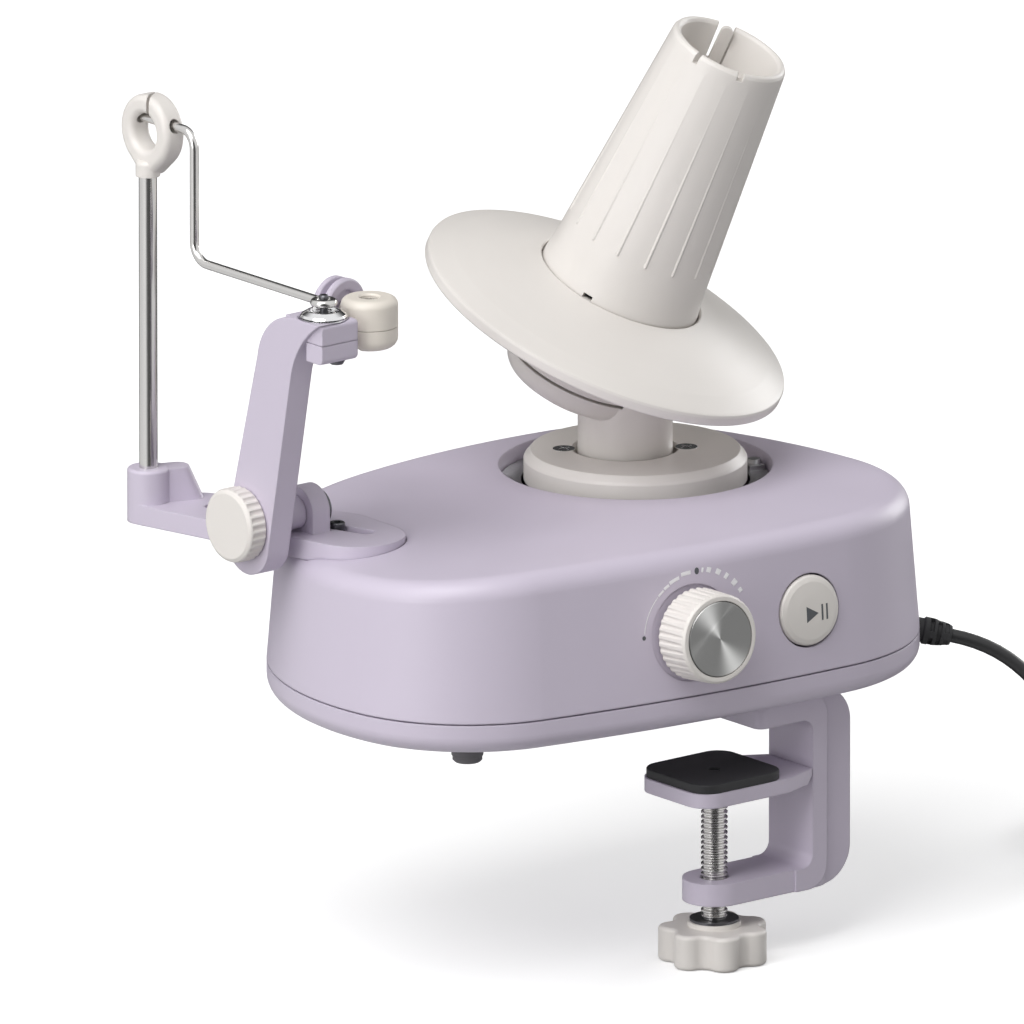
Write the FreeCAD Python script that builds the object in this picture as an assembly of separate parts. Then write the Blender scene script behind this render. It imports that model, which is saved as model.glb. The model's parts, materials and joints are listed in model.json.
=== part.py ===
import FreeCAD, Part
import math
import os

from FreeCAD import Vector

# Electric yarn ball winder with a table clamp, in millimetres, +Z up.
# The origin is the centre of the clamp's fixed upper jaw face, so z = 0 is the table top.
# +X runs along the housing to the turntable end, +Y to the back.

# Housing
TABLE_Z = 0.0
BASE_Z = 10.0
SEAM_Z = 22.2
SEAM_GAP = 0.6
TOP_Z = 77.0
WALL = 2.5
DRAFT = 4.5
TOP_ROUND = 8.0
BASE_ROUND = 6.5
# The top falls away in a wide curve beyond this line, towards the left end
CROWN_TURN = math.radians(170)
CROWN_START = 101.4
CROWN_R = 408.0
# Corner discs of the plan outline, counter-clockwise: x, y, radius
CORNERS = [(22.0, 43.0, 64.0), (9.0, 88.0, 67.0), (-91.0, 95.0, 50.0), (-105.0, 46.0, 55.0)]
# Radius of the bulged side that follows each corner: right, back, left, front
SIDE_RADII = [220.0, 300.0, 105.0, 725.0]
BOSS_PLACES = [(-119, 123), (-145, 26), (-88, 0), (62, 10), (54.5, 132), (-45, 140)]
BOSS_R = 4.5
FOOT_PLACES = [(-124, 23), (-112, 112), (-50, 32), (-20, 130)]
FOOT_R = 6.0

# Turntable
SPIN_X = 12.0
SPIN_Y = 91.0
HOLE_R = 51.5
FLANGE_R = 42.0
FLANGE_LOW = 71.0
FLANGE_TOP = 83.0
POST_R = 4.0
POST_TOP = 99.9
RUN_CLEARANCE = 0.05
BUSH_WALL = 2.0
BUSH_LENGTH = 10.0

# Tilted spindle: it leans by TILT towards LEAN and crosses the turntable axis at CROSS_Z
TILT = math.radians(24.5)
LEAN = math.radians(-58.1)
CROSS_Z = 159.4
CROSS_S = 28.45
COLUMN_R = 17.85
COLUMN_OFFSET = 4.1
COLUMN_TOP = 105.0
HEAD_R = 29.0
HEAD_LOW = -32.1
HEAD_TOP = -23.2
HEAD_ROUND = 7.4
GEAR_POCKET_R = 18.8
GEAR_POCKET_LOW = -33.9
HUB_R = 28.6
HUB_LOW = -22.3
CARRIER_LOW = -25.8
BEVEL_NEAR = 58.3
BEVEL_FAR = 60.8
DISC_R = 72.6
RIM_TOP = 1.75
RIM_LOW = -3.05
HOLE_TOP = 14.75
CONE_HOLE_R = 32.2
SEAT_TOP = 11.5
CONE_LOW_R = 31.0
CONE_HIGH = 119.0
CONE_HIGH_R = 22.8
CONE_WALL = 2.4
RIBS = 16
RIB_R = 0.6
RIB_PROUD = 0.42
RIB_LOW = 35.4
RIB_HIGH = 114.5
SHAFT_R = 4.0
# Cuts in the cone's top edge: turn in degrees, width, depth
CONE_NOTCHES = [(-104.0, 1.9, 4.2), (-57.7, 2.6, 3.0)]
BACK_SLOT = (113.7, 6.9, 16.0)
TONGUE_TURN = 112.7
TONGUE_WIDE = 4.7
TONGUE_IN = 17.4
TONGUE_OUT = 19.6
LATCH_TURN = -96.0
LATCH_WIDE = 3.9

# Gears
MODULE = 1.0
SUN_TEETH = 20
SPINDLE_TEETH = 32
DRIVE_TEETH = 72
PINION_TEETH = 14
GEAR_LOW = 55.5
GEAR_HIGH = 62.5
MOTOR_TOP = 51.6

# Front controls, on the front wall: its normal leans up by the draft and left by the taper
CONTROL_Z = 46.0
KNOB_X = -50.5
KNOB_Y = -20.4
BUTTON_X = 2.6
BUTTON_Y = -21.6
WALL_TURN = math.radians(4.0)
WALL_LEAN = math.radians(4.5)
KNOB_R = 17.4
KNOB_FACE_R = 16.8
KNOB_DEPTH = 17.0
KNOB_RIDGES = 36
KNOB_WELL_R = 18.3
KNOB_WELL_DEPTH = 1.2
BUTTON_R = 13.4
BUTTON_HOLE_R = 14.1

# Clamp
JAW = 13.0
WEB_OUT = 33.0
CLAMP_LOW = -66.0
ARM_TOP = -57.5
SCREW_X = -24.0
SCREW_R = 5.0
THREAD_PITCH = 2.0
THREAD_DEPTH = 0.8
PLATE_TOP = -19.2
PLATE_THICK = 5.5
PAD_THICK = 3.5
STAR_LOW = -89.5
STAR_HIGH = -76.0
STAR_LOBES = 7
STAR_TURN = math.radians(39)
BAND_X = (5.0, 20.0)
PAD_X = (-43.6, -3.2)
PAD_Y = (-18.0, 21.4)

# Yarn guide bracket: discs of its plan outline (x, y, radius), its slot and its screw
TIP = (-134.3, 75.7, 18.2)
FLANK = (-123.5, 95.0, 7.8)
HEEL = (-147.0, 151.9, 8.0)
POST = (-164.6, 162.3, 8.0)
SLOT_FRONT = (-129.5, 76.5)
SLOT_BACK = (-151.0, 140.5)
SLOT_R = 3.4
BRACKET_SCREW = (-133.5, 88.5)
POCKET_Z = 70.2
PLATE_Z = 78.0
STEP_Z = 75.0
BOSS_TOP = 91.0
SLIDE_OUT = 12.0
HINGE_Y = 95.0
HINGE_Z = 85.0
EAR_R = 9.8
EAR_X = (-147.7, -139.5)
NUT_R = 6.8
NUT_THICK = 3.8

# Yarn guide arm, its head and what it carries
SPACER_R = 6.3
BOLT_R = 3.0
ARM_LEAN = math.radians(10.9)
ARM_END = (93.5, 78.0)
ARM_END_R = 12.6
ARM_X = (-172.5, -162.5)
ARM_HEAD_TOP = 169.8
HEAD_X = (-171.0, -153.2)
HEAD_FRONT = 50.4
HEAD_BACK = 72.0
HEAD_Z = 154.4
HEAD_SEAM_Z = 161.8
CAP_BACK = 66.0
ARM_KNOB_DEPTH = 8.0
ARM_KNOB_R = 14.1
TENSION = (-162.3, 60.4)
TENSION_POST_R = 1.5
DISH_R = 9.8
ROLLER = (-140.3, 60.7)
ROLLER_R = 10.7
ROLLER_LOW = 154.6
ROLLER_SEAM = 163.0
ROLLER_TOP = 174.0
AXLE_R = 2.0
WHEEL = (-138.1, 81.9, 165.0)
WHEEL_TURN = math.radians(-80)
WHEEL_R = 11.5
WHEEL_HALF = 4.0

# Yarn guide post, ring and wire
GUIDE_POST_R = 3.45
GUIDE_POST_TOP = 207.6
WIRE_R = 1.7
WIRE_X = TENSION[0]
WIRE_LOW_Z = 175.5
WIRE_HIGH_Z = 224.8
WIRE_DROP_Y = 137.4
WIRE_BENDS = [6.5, 7.5]
EYE_BEND_R = 3.6
RING_Z = 220.6
RING_R = 14.2
RING_THICK = 9.6
RING_FOOT = 203.6
RING_FOOT_R = 5.8
COLLAR_R = 4.6
EYE_R = 7.0

# Mains lead
CORD_R = 2.65
FLOOR_Z = STAR_LOW
RELIEF_TURN = math.radians(-36.5)
RELIEF_Z = 20.3
RELIEF_DROOP = math.radians(12)
RELIEF_OUT = 12.0
# The lead's route from the sleeve's end, over the floor, to the start of its coil
CORD_POINTS = [
    (86.5, -4.7, 17.8),
    (96.4, -12.1, 15.2),
    (111.3, -21.8, 2.3),
    (127.0, -24.2, -19.6),
    (140.4, -18.6, -45.8),
    (152.0, -3.2, -68.8),
    (160.6, 19.3, -83.2),
    (170.4, 40.4, -85.9),
    (182.5, 56.3, -85.9),
]
# Turns in each of the coil's two layers, and all its turns with the quarter that leads to the tail
LAYER_TURNS = 3.5
COIL_END = 7.25
COIL_MID_R = 31.4
COIL_PITCH = 5.8
COIL_TAIL = 32.0
TIE_THICK = 0.8
PLUG_THICK = 12.0


def direction(angle):
    return Vector(math.cos(angle), math.sin(angle), 0)


def relief_place():
    """Where the lead's sleeve leaves the wall, on the front right corner's disc."""
    x, y, radius = CORNERS[0]
    return Vector(x, y, RELIEF_Z) + direction(RELIEF_TURN) * (radius + DRAFT)


def relief_way():
    flat = math.cos(RELIEF_DROOP)
    return direction(RELIEF_TURN) * flat - Vector(0, 0, math.sin(RELIEF_DROOP))


def cylinder(radius, low, high, x=0.0, y=0.0):
    return Part.makeCylinder(radius, high - low, Vector(x, y, low))


def tube(outer, inner, low, high, x=0.0, y=0.0):
    return cylinder(outer, low, high, x, y).cut(cylinder(inner, low - 1, high + 1, x, y))


def block(x, y, z):
    return Part.makeBox(x[1] - x[0], y[1] - y[0], z[1] - z[0], Vector(x[0], y[0], z[0]))


def rod(start, end, radius):
    return Part.makeCylinder(radius, (end - start).Length, start, end - start)


def turned(points):
    """Solid of revolution about Z from a closed outline of (radius, height) points."""
    corners = [Vector(r, 0, z) for r, z in points]
    face = Part.Face(Part.makePolygon(corners + corners[:1]))
    return face.revolve(Vector(0, 0, 0), Vector(0, 0, 1), 360)


def prism(points, low, high):
    corners = [Vector(x, y, low) for x, y in points]
    return Part.Face(Part.makePolygon(corners + corners[:1])).extrude(Vector(0, 0, high - low))


def fused(shapes):
    return shapes[0].multiFuse(shapes[1:]).removeSplitter()


def placed(shape, origin, z_axis, x_axis):
    """Move a shape built about the origin so that its Z and X run along the given axes."""
    z = Vector(z_axis).normalize()
    y = z.cross(x_axis).normalize()
    x = y.cross(z)
    matrix = FreeCAD.Matrix(x.x, y.x, z.x, origin.x, x.y, y.y, z.y, origin.y,
                            x.z, y.z, z.z, origin.z, 0, 0, 0, 1)
    moved = shape.copy()
    moved.Placement = FreeCAD.Placement(matrix).multiply(moved.Placement)
    return moved


def edges_at(shape, height):
    found = []
    for edge in shape.Edges:
        if all(abs(v.Z - height) < 1e-4 for v in edge.Vertexes):
            found.append(edge)
    return found


def arc(centre, radius, start, end):
    middle = (start + end) / 2
    ends = [centre + direction(a) * radius for a in (start, middle, end)]
    return Part.Arc(*ends).toShape()


def side_centre(first, second, radius):
    """Centre of the big arc that touches two corner discs from outside, on their inner side."""
    c1 = Vector(first[0], first[1], 0)
    c2 = Vector(second[0], second[1], 0)
    across = c2 - c1
    span = across.Length
    reach1 = radius - first[2]
    reach2 = radius - second[2]
    along = (reach1 ** 2 - reach2 ** 2 + span ** 2) / (2 * span)
    away = math.sqrt(reach1 ** 2 - along ** 2)
    unit = across / span
    return c1 + unit * along + Vector(-unit.y, unit.x, 0) * away


def heading(vector):
    return math.atan2(vector.y, vector.x)


def outline(offset, height):
    """The housing's plan outline, moved out by offset, as a closed wire at a height."""
    count = len(CORNERS)
    sides = []
    for i in range(count):
        sides.append(side_centre(CORNERS[i], CORNERS[(i + 1) % count], SIDE_RADII[i]))
    edges = []
    for i in range(count):
        x, y, radius = CORNERS[i]
        corner = Vector(x, y, 0)
        start = heading(corner - sides[i - 1])
        end = heading(corner - sides[i])
        while end < start:
            end += 2 * math.pi
        edges.append(arc(corner, radius + offset, start, end))
        x2, y2, _ = CORNERS[(i + 1) % count]
        far = heading(Vector(x2, y2, 0) - sides[i])
        while far < end:
            far += 2 * math.pi
        edges.append(arc(sides[i], SIDE_RADII[i] + offset, end, far))
    wire = Part.Wire(edges)
    wire.translate(Vector(0, 0, height))
    return wire


def slab(offset, low, high):
    return Part.Face(outline(offset, low)).extrude(Vector(0, 0, high - low))


def wall_offset(height):
    return DRAFT * (TOP_Z - height) / (TOP_Z - SEAM_Z)


def strap(first, second, low, high):
    """Plate whose plan is two discs and the tangents that join them."""
    c1 = Vector(first[0], first[1], 0)
    c2 = Vector(second[0], second[1], 0)
    span = (c2 - c1).Length
    turn = heading(c2 - c1)
    spread = math.acos((first[2] - second[2]) / span)
    p1 = c1 + direction(turn + spread) * first[2]
    p2 = c1 + direction(turn - spread) * first[2]
    p3 = c2 + direction(turn - spread) * second[2]
    p4 = c2 + direction(turn + spread) * second[2]
    edges = [
        arc(c1, first[2], turn + spread, turn + 2 * math.pi - spread),
        Part.makeLine(p2, p3),
        arc(c2, second[2], turn - spread, turn + spread),
        Part.makeLine(p4, p1),
    ]
    wire = Part.Wire(Part.__sortEdges__(edges))
    wire.translate(Vector(0, 0, low))
    return Part.Face(wire).extrude(Vector(0, 0, high - low))


# Control axes on the front wall

def wall_normal():
    flat = math.cos(WALL_LEAN)
    return Vector(-math.sin(WALL_TURN) * flat, -math.cos(WALL_TURN) * flat, math.sin(WALL_LEAN))


def on_wall(shape, x, y):
    """Place a shape built with +Z outwards and z = 0 on the wall's outer face."""
    return placed(shape, Vector(x, y, CONTROL_Z), wall_normal(), Vector(1, 0, 0))


def on_relief(shape):
    return placed(shape, relief_place(), relief_way(), Vector(0, 0, 1))


# Housing pieces

def crown_cut(height):
    """What the falling left end takes off a body whose flat top is at this height."""
    radius = CROWN_R - TOP_Z + height
    room = Part.makeBox(120, 500, 60, Vector(0, -250, -40))
    barrel = Part.makeCylinder(radius, 520, Vector(0, -260, -radius), Vector(0, 1, 0))
    way = direction(CROWN_TURN)
    return placed(room.cut(barrel), way * CROWN_START + Vector(0, 0, height), Vector(0, 0, 1), way)


def crowned(body, height, rounding):
    """Let the top fall away at the left end and round its edge all the way."""
    body = body.cut(crown_cut(height))
    rim = []
    for edge in body.Edges:
        on_side = isinstance(edge.Curve, Part.Line)
        if not on_side and edge.BoundBox.ZMin > height - 20:
            rim.append(edge)
    return body.makeFillet(rounding, rim)


def housing_outer():
    body = Part.makeLoft([outline(DRAFT, SEAM_Z), outline(0, TOP_Z)], True, True)
    return crowned(body, TOP_Z, TOP_ROUND)


def housing_inner():
    low = SEAM_Z - 1
    high = TOP_Z - WALL
    wires = [outline(wall_offset(low) - WALL, low), outline(wall_offset(high) - WALL, high)]
    return crowned(Part.makeLoft(wires, True, True), high, TOP_ROUND - WALL)


def slide_way():
    """The bracket slides out along its slot."""
    return (Vector(*SLOT_BACK, 0) - Vector(*SLOT_FRONT, 0)).normalize()


def bracket_plan(grow, slide, low, high):
    """The bracket's plate, grown all round and slid out."""
    move = slide_way() * slide
    discs = [(x + move.x, y + move.y, radius + grow) for x, y, radius in (TIP, FLANK, HEEL, POST)]
    shapes = [strap(discs[i - 1], discs[i], low, high) for i in range(len(discs))]
    shapes.append(prism([(x, y) for x, y, _ in discs], low, high))
    return fused(shapes)


def pocket(grow, low):
    """The bracket's recess, swept along its sliding travel."""
    steps = 3
    return fused([bracket_plan(grow, SLIDE_OUT * i / steps, low, TOP_Z + 5) for i in range(steps + 1)])


def relief_hole():
    return on_relief(cylinder(4.6, -9, 8).fuse(cylinder(6.6, -16, -8.6)))


def upper_housing():
    outer = housing_outer()
    shell = outer.cut(housing_inner())
    inside = [pocket(WALL, POCKET_Z - WALL)]
    inside.append(cylinder(HOLE_R + 2, 67, TOP_Z, SPIN_X, SPIN_Y))
    inside.append(cylinder(6, 56, POCKET_Z, *BRACKET_SCREW))
    for x, y in BOSS_PLACES:
        inside.append(cylinder(BOSS_R, SEAM_Z + 3, TOP_Z, x, y))
    guide = on_wall(cylinder(BUTTON_HOLE_R + 1.5, -9, -0.5), BUTTON_X, BUTTON_Y)
    inside.append(guide)
    for x, z in ((-46, 14), (-46, -13), (34, 14), (34, -13)):
        inside.append(on_board(cylinder(2.5, -13.5, -1.5, x, z)))
    added = fused(inside).common(outer)
    shell = shell.fuse(added)
    cuts = [pocket(0.4, POCKET_Z)]
    cuts.append(cylinder(HOLE_R, 50, 90, SPIN_X, SPIN_Y))
    cuts.append(cylinder(1.6, 50, 90, *BRACKET_SCREW))
    for x, y in BOSS_PLACES:
        cuts.append(cylinder(1.55, 20, 38, x, y))
    cuts.append(on_wall(cylinder(3.6, -12, 3), KNOB_X, KNOB_Y))
    cuts.append(on_wall(cylinder(KNOB_WELL_R, -KNOB_WELL_DEPTH, 4), KNOB_X, KNOB_Y))
    cuts.append(on_wall(cylinder(BUTTON_HOLE_R, -12, 4), BUTTON_X, BUTTON_Y))
    cuts.append(relief_hole())
    return shell.cut(Part.makeCompound(cuts)).removeSplitter()


def base_cover():
    top = SEAM_Z - SEAM_GAP
    body = slab(DRAFT, BASE_Z, top)
    body = body.makeFillet(BASE_ROUND, edges_at(body, BASE_Z))
    body = body.cut(slab(DRAFT - 7.5, BASE_Z + WALL, top + 1))
    lip_out = slab(DRAFT - WALL - 0.25, top - 3, SEAM_Z + 3)
    lip = lip_out.cut(slab(DRAFT - WALL - 1.9, top - 4, SEAM_Z + 4))
    adds = [body, lip]
    for x, y in BOSS_PLACES:
        adds.append(cylinder(BOSS_R, BASE_Z + 1, SEAM_Z + 2.7, x, y))
    adds.append(cylinder(10, BASE_Z + 1, 30, SPIN_X, SPIN_Y))
    body = fused(adds)
    cuts = [cylinder(POST_R, 14, 40, SPIN_X, SPIN_Y)]
    for x, y in BOSS_PLACES:
        cuts.append(cylinder(1.8, 5, 30, x, y))
        cuts.append(cylinder(3.3, 5, BASE_Z + 5, x, y))
    for x in (-7, 7):
        cuts.append(cylinder(2.1, 5, 20, x, 0))
    cuts.append(relief_hole())
    return body.cut(Part.makeCompound(cuts)).removeSplitter()


def rubber_feet():
    profile = [(0, TABLE_Z), (FOOT_R - 1.2, TABLE_Z), (FOOT_R - 0.4, 0.8), (FOOT_R - 0.4, 2.2),
               (FOOT_R, 2.6), (FOOT_R, BASE_Z), (0, BASE_Z)]
    foot = turned(profile)
    return Part.makeCompound([foot.translated(Vector(x, y, 0)) for x, y in FOOT_PLACES])


def base_screws():
    screw = turned([(0, 12), (3, 12), (3, 15), (1.5, 15), (1.5, 34), (0, 34)])
    return Part.makeCompound([screw.translated(Vector(x, y, 0)) for x, y in BOSS_PLACES])


def turntable_seat():
    ring = tube(HOLE_R - 0.6, FLANGE_R + 1.0, 70.0, 71.2)
    tabs = []
    for turn in (-20, 100, 220):
        tab = block((44, 50), (-4, 4), (71.2, 73.2)).cut(cylinder(1.7, 70, 75, 47.2, 0))
        tab.rotate(Vector(0, 0, 0), Vector(0, 0, 1), turn)
        tabs.append(tab)
    hanger = tube(HOLE_R + 2, HOLE_R - 3, 65.5, 67.0)
    riser = tube(HOLE_R - 0.6, HOLE_R - 3, 66.0, 70.5)
    return fused([ring, hanger, riser] + tabs).translated(Vector(SPIN_X, SPIN_Y, 0))


def seat_screws():
    screw = turned([(0, 72.2), (1.6, 72.2), (1.6, 73.2), (3.0, 73.2), (2.4, 74.9), (0, 74.9)])
    shapes = []
    for turn in (-20, 100, 220):
        one = screw.translated(Vector(47.2, 0, 0))
        one.rotate(Vector(0, 0, 0), Vector(0, 0, 1), turn)
        shapes.append(one.translated(Vector(SPIN_X, SPIN_Y, 0)))
    return Part.makeCompound(shapes)


# Gears with straight-sided teeth

def tooth_points(teeth, radius, module, phase):
    pitch = 2 * math.pi / teeth
    tip = radius + 0.8 * module
    root = radius - 1.15 * module
    points = []
    for i in range(teeth):
        middle = phase + i * pitch
        for r, part in ((root, -0.3), (tip, -0.11), (tip, 0.11), (root, 0.3)):
            angle = middle + part * pitch
            points.append((r * math.cos(angle), r * math.sin(angle)))
    return points


def spur_gear(teeth, bore, low, high, phase):
    radius = teeth * MODULE / 2
    return prism(tooth_points(teeth, radius, MODULE, phase), low, high).cut(
        cylinder(bore, low - 1, high + 1))


def bevel_gear(teeth, cone_angle, near, far, bore, phase):
    """Straight bevel gear below an apex at the origin, its axis along Z."""
    wires = []
    for depth in (near, far):
        radius = depth * math.tan(cone_angle)
        module = 2 * radius / teeth
        corners = [Vector(x, y, -depth) for x, y in tooth_points(teeth, radius, module, phase)]
        wires.append(Part.makePolygon(corners + corners[:1]))
    body = Part.makeLoft(wires, True, True)
    return body.cut(cylinder(bore, -far - 1, -near + 1))


def cone_angles():
    ratio = SUN_TEETH / SPINDLE_TEETH
    sun = math.atan2(math.sin(TILT) * ratio, 1 + ratio * math.cos(TILT))
    return sun, TILT - sun


def bevel_depths(angle):
    """How far below the apex the gear of this cone angle lies, level with the spindle gear's teeth."""
    _, spindle = cone_angles()
    return [depth / math.cos(spindle) * math.cos(angle) for depth in (BEVEL_NEAR, BEVEL_FAR)]


# The tilted spindle's own frame: z = 0 is near the middle of the yarn disc's rim

def lean_direction():
    return direction(LEAN)


def spindle_axis():
    return lean_direction() * math.sin(TILT) + Vector(0, 0, math.cos(TILT))


def cross_point():
    return Vector(SPIN_X, SPIN_Y, CROSS_Z)


def on_spindle(shape):
    downhill = lean_direction() * math.cos(TILT) - Vector(0, 0, math.sin(TILT))
    return placed(shape, cross_point() - spindle_axis() * CROSS_S, spindle_axis(), downhill)


def column_centre():
    return Vector(SPIN_X, SPIN_Y, 0) - lean_direction() * COLUMN_OFFSET


# Turntable pieces

def turntable_column():
    centre = column_centre()
    column = cylinder(COLUMN_R, 74.4, COLUMN_TOP, centre.x, centre.y)
    flange = cylinder(33, FLANGE_LOW, 74.4, SPIN_X, SPIN_Y)
    head = cylinder(HEAD_R, HEAD_LOW, HEAD_TOP)
    head = head.makeFillet(HEAD_ROUND, edges_at(head, HEAD_LOW))
    pocket = cylinder(GEAR_POCKET_R, GEAR_POCKET_LOW, HEAD_LOW + 1)
    body = fused([column, flange, on_spindle(head.fuse(pocket))])
    # The skirt that carries the drive gear and runs on the fixed post
    skirt = cylinder(12, GEAR_LOW - 3, FLANGE_LOW + 1, SPIN_X, SPIN_Y)
    body = fused([body, skirt])
    cavity = cylinder(12, 96, POST_TOP + 0.6, SPIN_X, SPIN_Y)
    open_top = cylinder(12, 96, 112, SPIN_X, SPIN_Y)
    drum = on_spindle(cylinder(HEAD_R + 0.6, HEAD_TOP, 40))
    gear_room = on_spindle(cylinder(GEAR_POCKET_R - 1.2, GEAR_POCKET_LOW + 1.1, HEAD_TOP + 1))
    reach = on_spindle(cylinder(HEAD_R + 0.6, -60, 40))
    plate_seat = on_spindle(cylinder(24.2, CARRIER_LOW - 0.1, HEAD_TOP + 1))
    bore = cylinder(POST_R + BUSH_WALL, 40, 97, SPIN_X, SPIN_Y)
    cuts = [cavity, open_top.common(reach), drum, gear_room, plate_seat, bore]
    for part in cuts:
        body = body.cut(part)
    return body.removeSplitter()


def turntable_cover():
    outline_points = [(20.2, 74.6), (33.4, 74.6), (33.4, FLANGE_LOW), (FLANGE_R - 0.6, FLANGE_LOW),
                      (FLANGE_R, FLANGE_LOW + 0.6), (FLANGE_R, FLANGE_TOP - 3.4),
                      (FLANGE_R - 0.5, FLANGE_TOP - 2.4), (FLANGE_R - 2.6, FLANGE_TOP),
                      (8.0, FLANGE_TOP), (8.0, FLANGE_TOP - 2.5), (20.2, FLANGE_TOP - 2.5)]
    plate = turned(outline_points).translated(Vector(SPIN_X, SPIN_Y, 0))
    centre = column_centre()
    plate = plate.cut(cylinder(COLUMN_R + 2.3, 70, 90, centre.x, centre.y))
    for place in cover_screw_places():
        sink = turned([(0, 70), (2.2, 70), (2.2, FLANGE_TOP - 2), (4.9, FLANGE_TOP + 0.4),
                       (4.9, 90), (0, 90)])
        plate = plate.cut(sink.translated(place))
    return plate


def cover_screw_places():
    centre = column_centre()
    line = direction(math.radians(-35.7))
    return [centre + line * 23.0, centre - line * 23.0]


def cover_screws():
    screw = turned([(0, 75.0), (1.9, 75.0), (1.9, FLANGE_TOP - 2.0), (4.2, FLANGE_TOP - 0.1),
                    (4.2, FLANGE_TOP), (0, FLANGE_TOP)])
    cross = fused([block((-2.4, 2.4), (-0.4, 0.4), (FLANGE_TOP - 1.2, 84)),
                   block((-0.4, 0.4), (-2.4, 2.4), (FLANGE_TOP - 1.2, 84))])
    head = screw.cut(cross)
    return Part.makeCompound([head.translated(place) for place in cover_screw_places()])


def drive_gear():
    gear = spur_gear(DRIVE_TEETH, 12.05, GEAR_LOW, GEAR_HIGH, gear_phase())
    web = tube(31, 15, GEAR_LOW - 1, GEAR_LOW + 2).fuse(tube(31, 15, GEAR_HIGH - 2, GEAR_HIGH + 1))
    return gear.cut(web).translated(Vector(SPIN_X, SPIN_Y, 0))


def gear_phase():
    return heading(motor_centre() - Vector(SPIN_X, SPIN_Y, 0))


def motor_centre():
    distance = (DRIVE_TEETH + PINION_TEETH) * MODULE / 2
    return Vector(SPIN_X, SPIN_Y, 0) + direction(math.radians(186)) * distance


def motor_pinion():
    middle = gear_phase() + math.pi
    phase = middle + math.pi / PINION_TEETH
    gear = spur_gear(PINION_TEETH, 1.5, GEAR_LOW - 0.5, GEAR_HIGH + 0.5, phase)
    shaft = cylinder(1.5, MOTOR_TOP - 14, GEAR_HIGH + 0.5)
    return gear.fuse(shaft).removeSplitter().translated(motor_centre())


def motor():
    low = MOTOR_TOP - 36.6
    can = turned([(0, low), (15, low), (17.5, low + 2), (17.5, MOTOR_TOP - 2.6),
                  (16.5, MOTOR_TOP - 1.6), (6, MOTOR_TOP - 1.6), (6, MOTOR_TOP), (1.55, MOTOR_TOP),
                  (1.55, MOTOR_TOP - 16), (0, MOTOR_TOP - 16)])
    return can.translated(motor_centre())


def motor_bracket():
    centre = motor_centre()
    low = MOTOR_TOP - 1.6
    plate = block((centre.x - 26, centre.x + 21), (centre.y - 24, centre.y + 24), (low, low + 2))
    plate = plate.cut(cylinder(6, low - 5, low + 5, centre.x, centre.y))
    legs = []
    for x in (centre.x - 24, centre.x + 19):
        for y in (centre.y - 21, centre.y + 21):
            legs.append(cylinder(2.5, BASE_Z + WALL, low + 1, x, y))
    return fused([plate] + legs)


def sleeve_bushes():
    """Four like bushes: two run on the fixed post and two carry the tilted shaft."""
    bush = tube(POST_R + BUSH_WALL, POST_R + RUN_CLEARANCE, 0, BUSH_LENGTH)
    shapes = []
    for low in (GEAR_LOW - 3, 82.0):
        shapes.append(bush.translated(Vector(SPIN_X, SPIN_Y, low)))
    for low in (CARRIER_LOW, -6.0):
        shapes.append(on_spindle(bush.translated(Vector(0, 0, low))))
    return Part.makeCompound(shapes)


def centre_post():
    post = cylinder(POST_R, 14, POST_TOP, SPIN_X, SPIN_Y)
    collar = tube(9, POST_R, GEAR_LOW - 6, GEAR_LOW - 3.3, SPIN_X, SPIN_Y)
    return post.fuse(collar).removeSplitter()


def sun_gear():
    angle, _ = cone_angles()
    phase = LEAN + math.pi
    near, far = bevel_depths(angle)
    gear = bevel_gear(SUN_TEETH, angle, near, far, POST_R, phase)
    return gear.translated(cross_point())


def spindle_gear():
    _, angle = cone_angles()
    phase = math.pi / SPINDLE_TEETH
    gear = bevel_gear(SPINDLE_TEETH, angle, BEVEL_NEAR, BEVEL_FAR, SHAFT_R, phase)
    return on_spindle(gear.translated(Vector(0, 0, CROSS_S)))


def spindle_carrier():
    plate = cylinder(24.0, CARRIER_LOW, CARRIER_LOW + 2.2)
    boss = cylinder(9, CARRIER_LOW + 1, 4)
    body = fused([plate, boss]).cut(cylinder(SHAFT_R + BUSH_WALL, -32, 5))
    notch = cylinder(12.6, 80, 120, SPIN_X, SPIN_Y)
    return on_spindle(body).cut(notch)


# Cone pieces

def cone_shaft():
    return on_spindle(cylinder(SHAFT_R, CROSS_S - BEVEL_FAR - 0.1, 96))


def disc_hub():
    inner = HUB_R - 2.6
    seat = SEAT_TOP - 2.0
    shell = turned([(inner, HUB_LOW), (HUB_R, HUB_LOW), (HUB_R, seat), (SHAFT_R, seat), (SHAFT_R, 5.0),
                    (HUB_R - 8, 5.0), (inner, 0)])
    return on_spindle(shell)


def yarn_disc():
    """Shallow dome with a deep rim; the cone stands in the hole on a sunk seat."""
    seat = CONE_LOW_R - 7
    under = HOLE_TOP - 3.2
    ledge = SEAT_TOP - 1.9
    rim = [(DISC_R - 0.3, RIM_LOW), (DISC_R, RIM_LOW + 0.5), (DISC_R, RIM_TOP - 1.5),
           (DISC_R - 0.35, RIM_TOP - 0.55), (DISC_R - 1.3, RIM_TOP)]
    dome = [(64, 5.0), (54, 8.5), (44, 11.6), (CONE_HOLE_R + 0.5, HOLE_TOP), (CONE_HOLE_R, HOLE_TOP - 0.4)]
    well = [(CONE_HOLE_R, SEAT_TOP), (seat, SEAT_TOP), (seat, ledge), (CONE_HOLE_R + 2, ledge)]
    inner_face = [(44, under - 3.2), (54, 5.2), (64, 1.8), (DISC_R - 2.6, -1.0), (DISC_R - 2.4, RIM_LOW)]
    return on_spindle(turned(rim + dome + well + inner_face))


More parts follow.
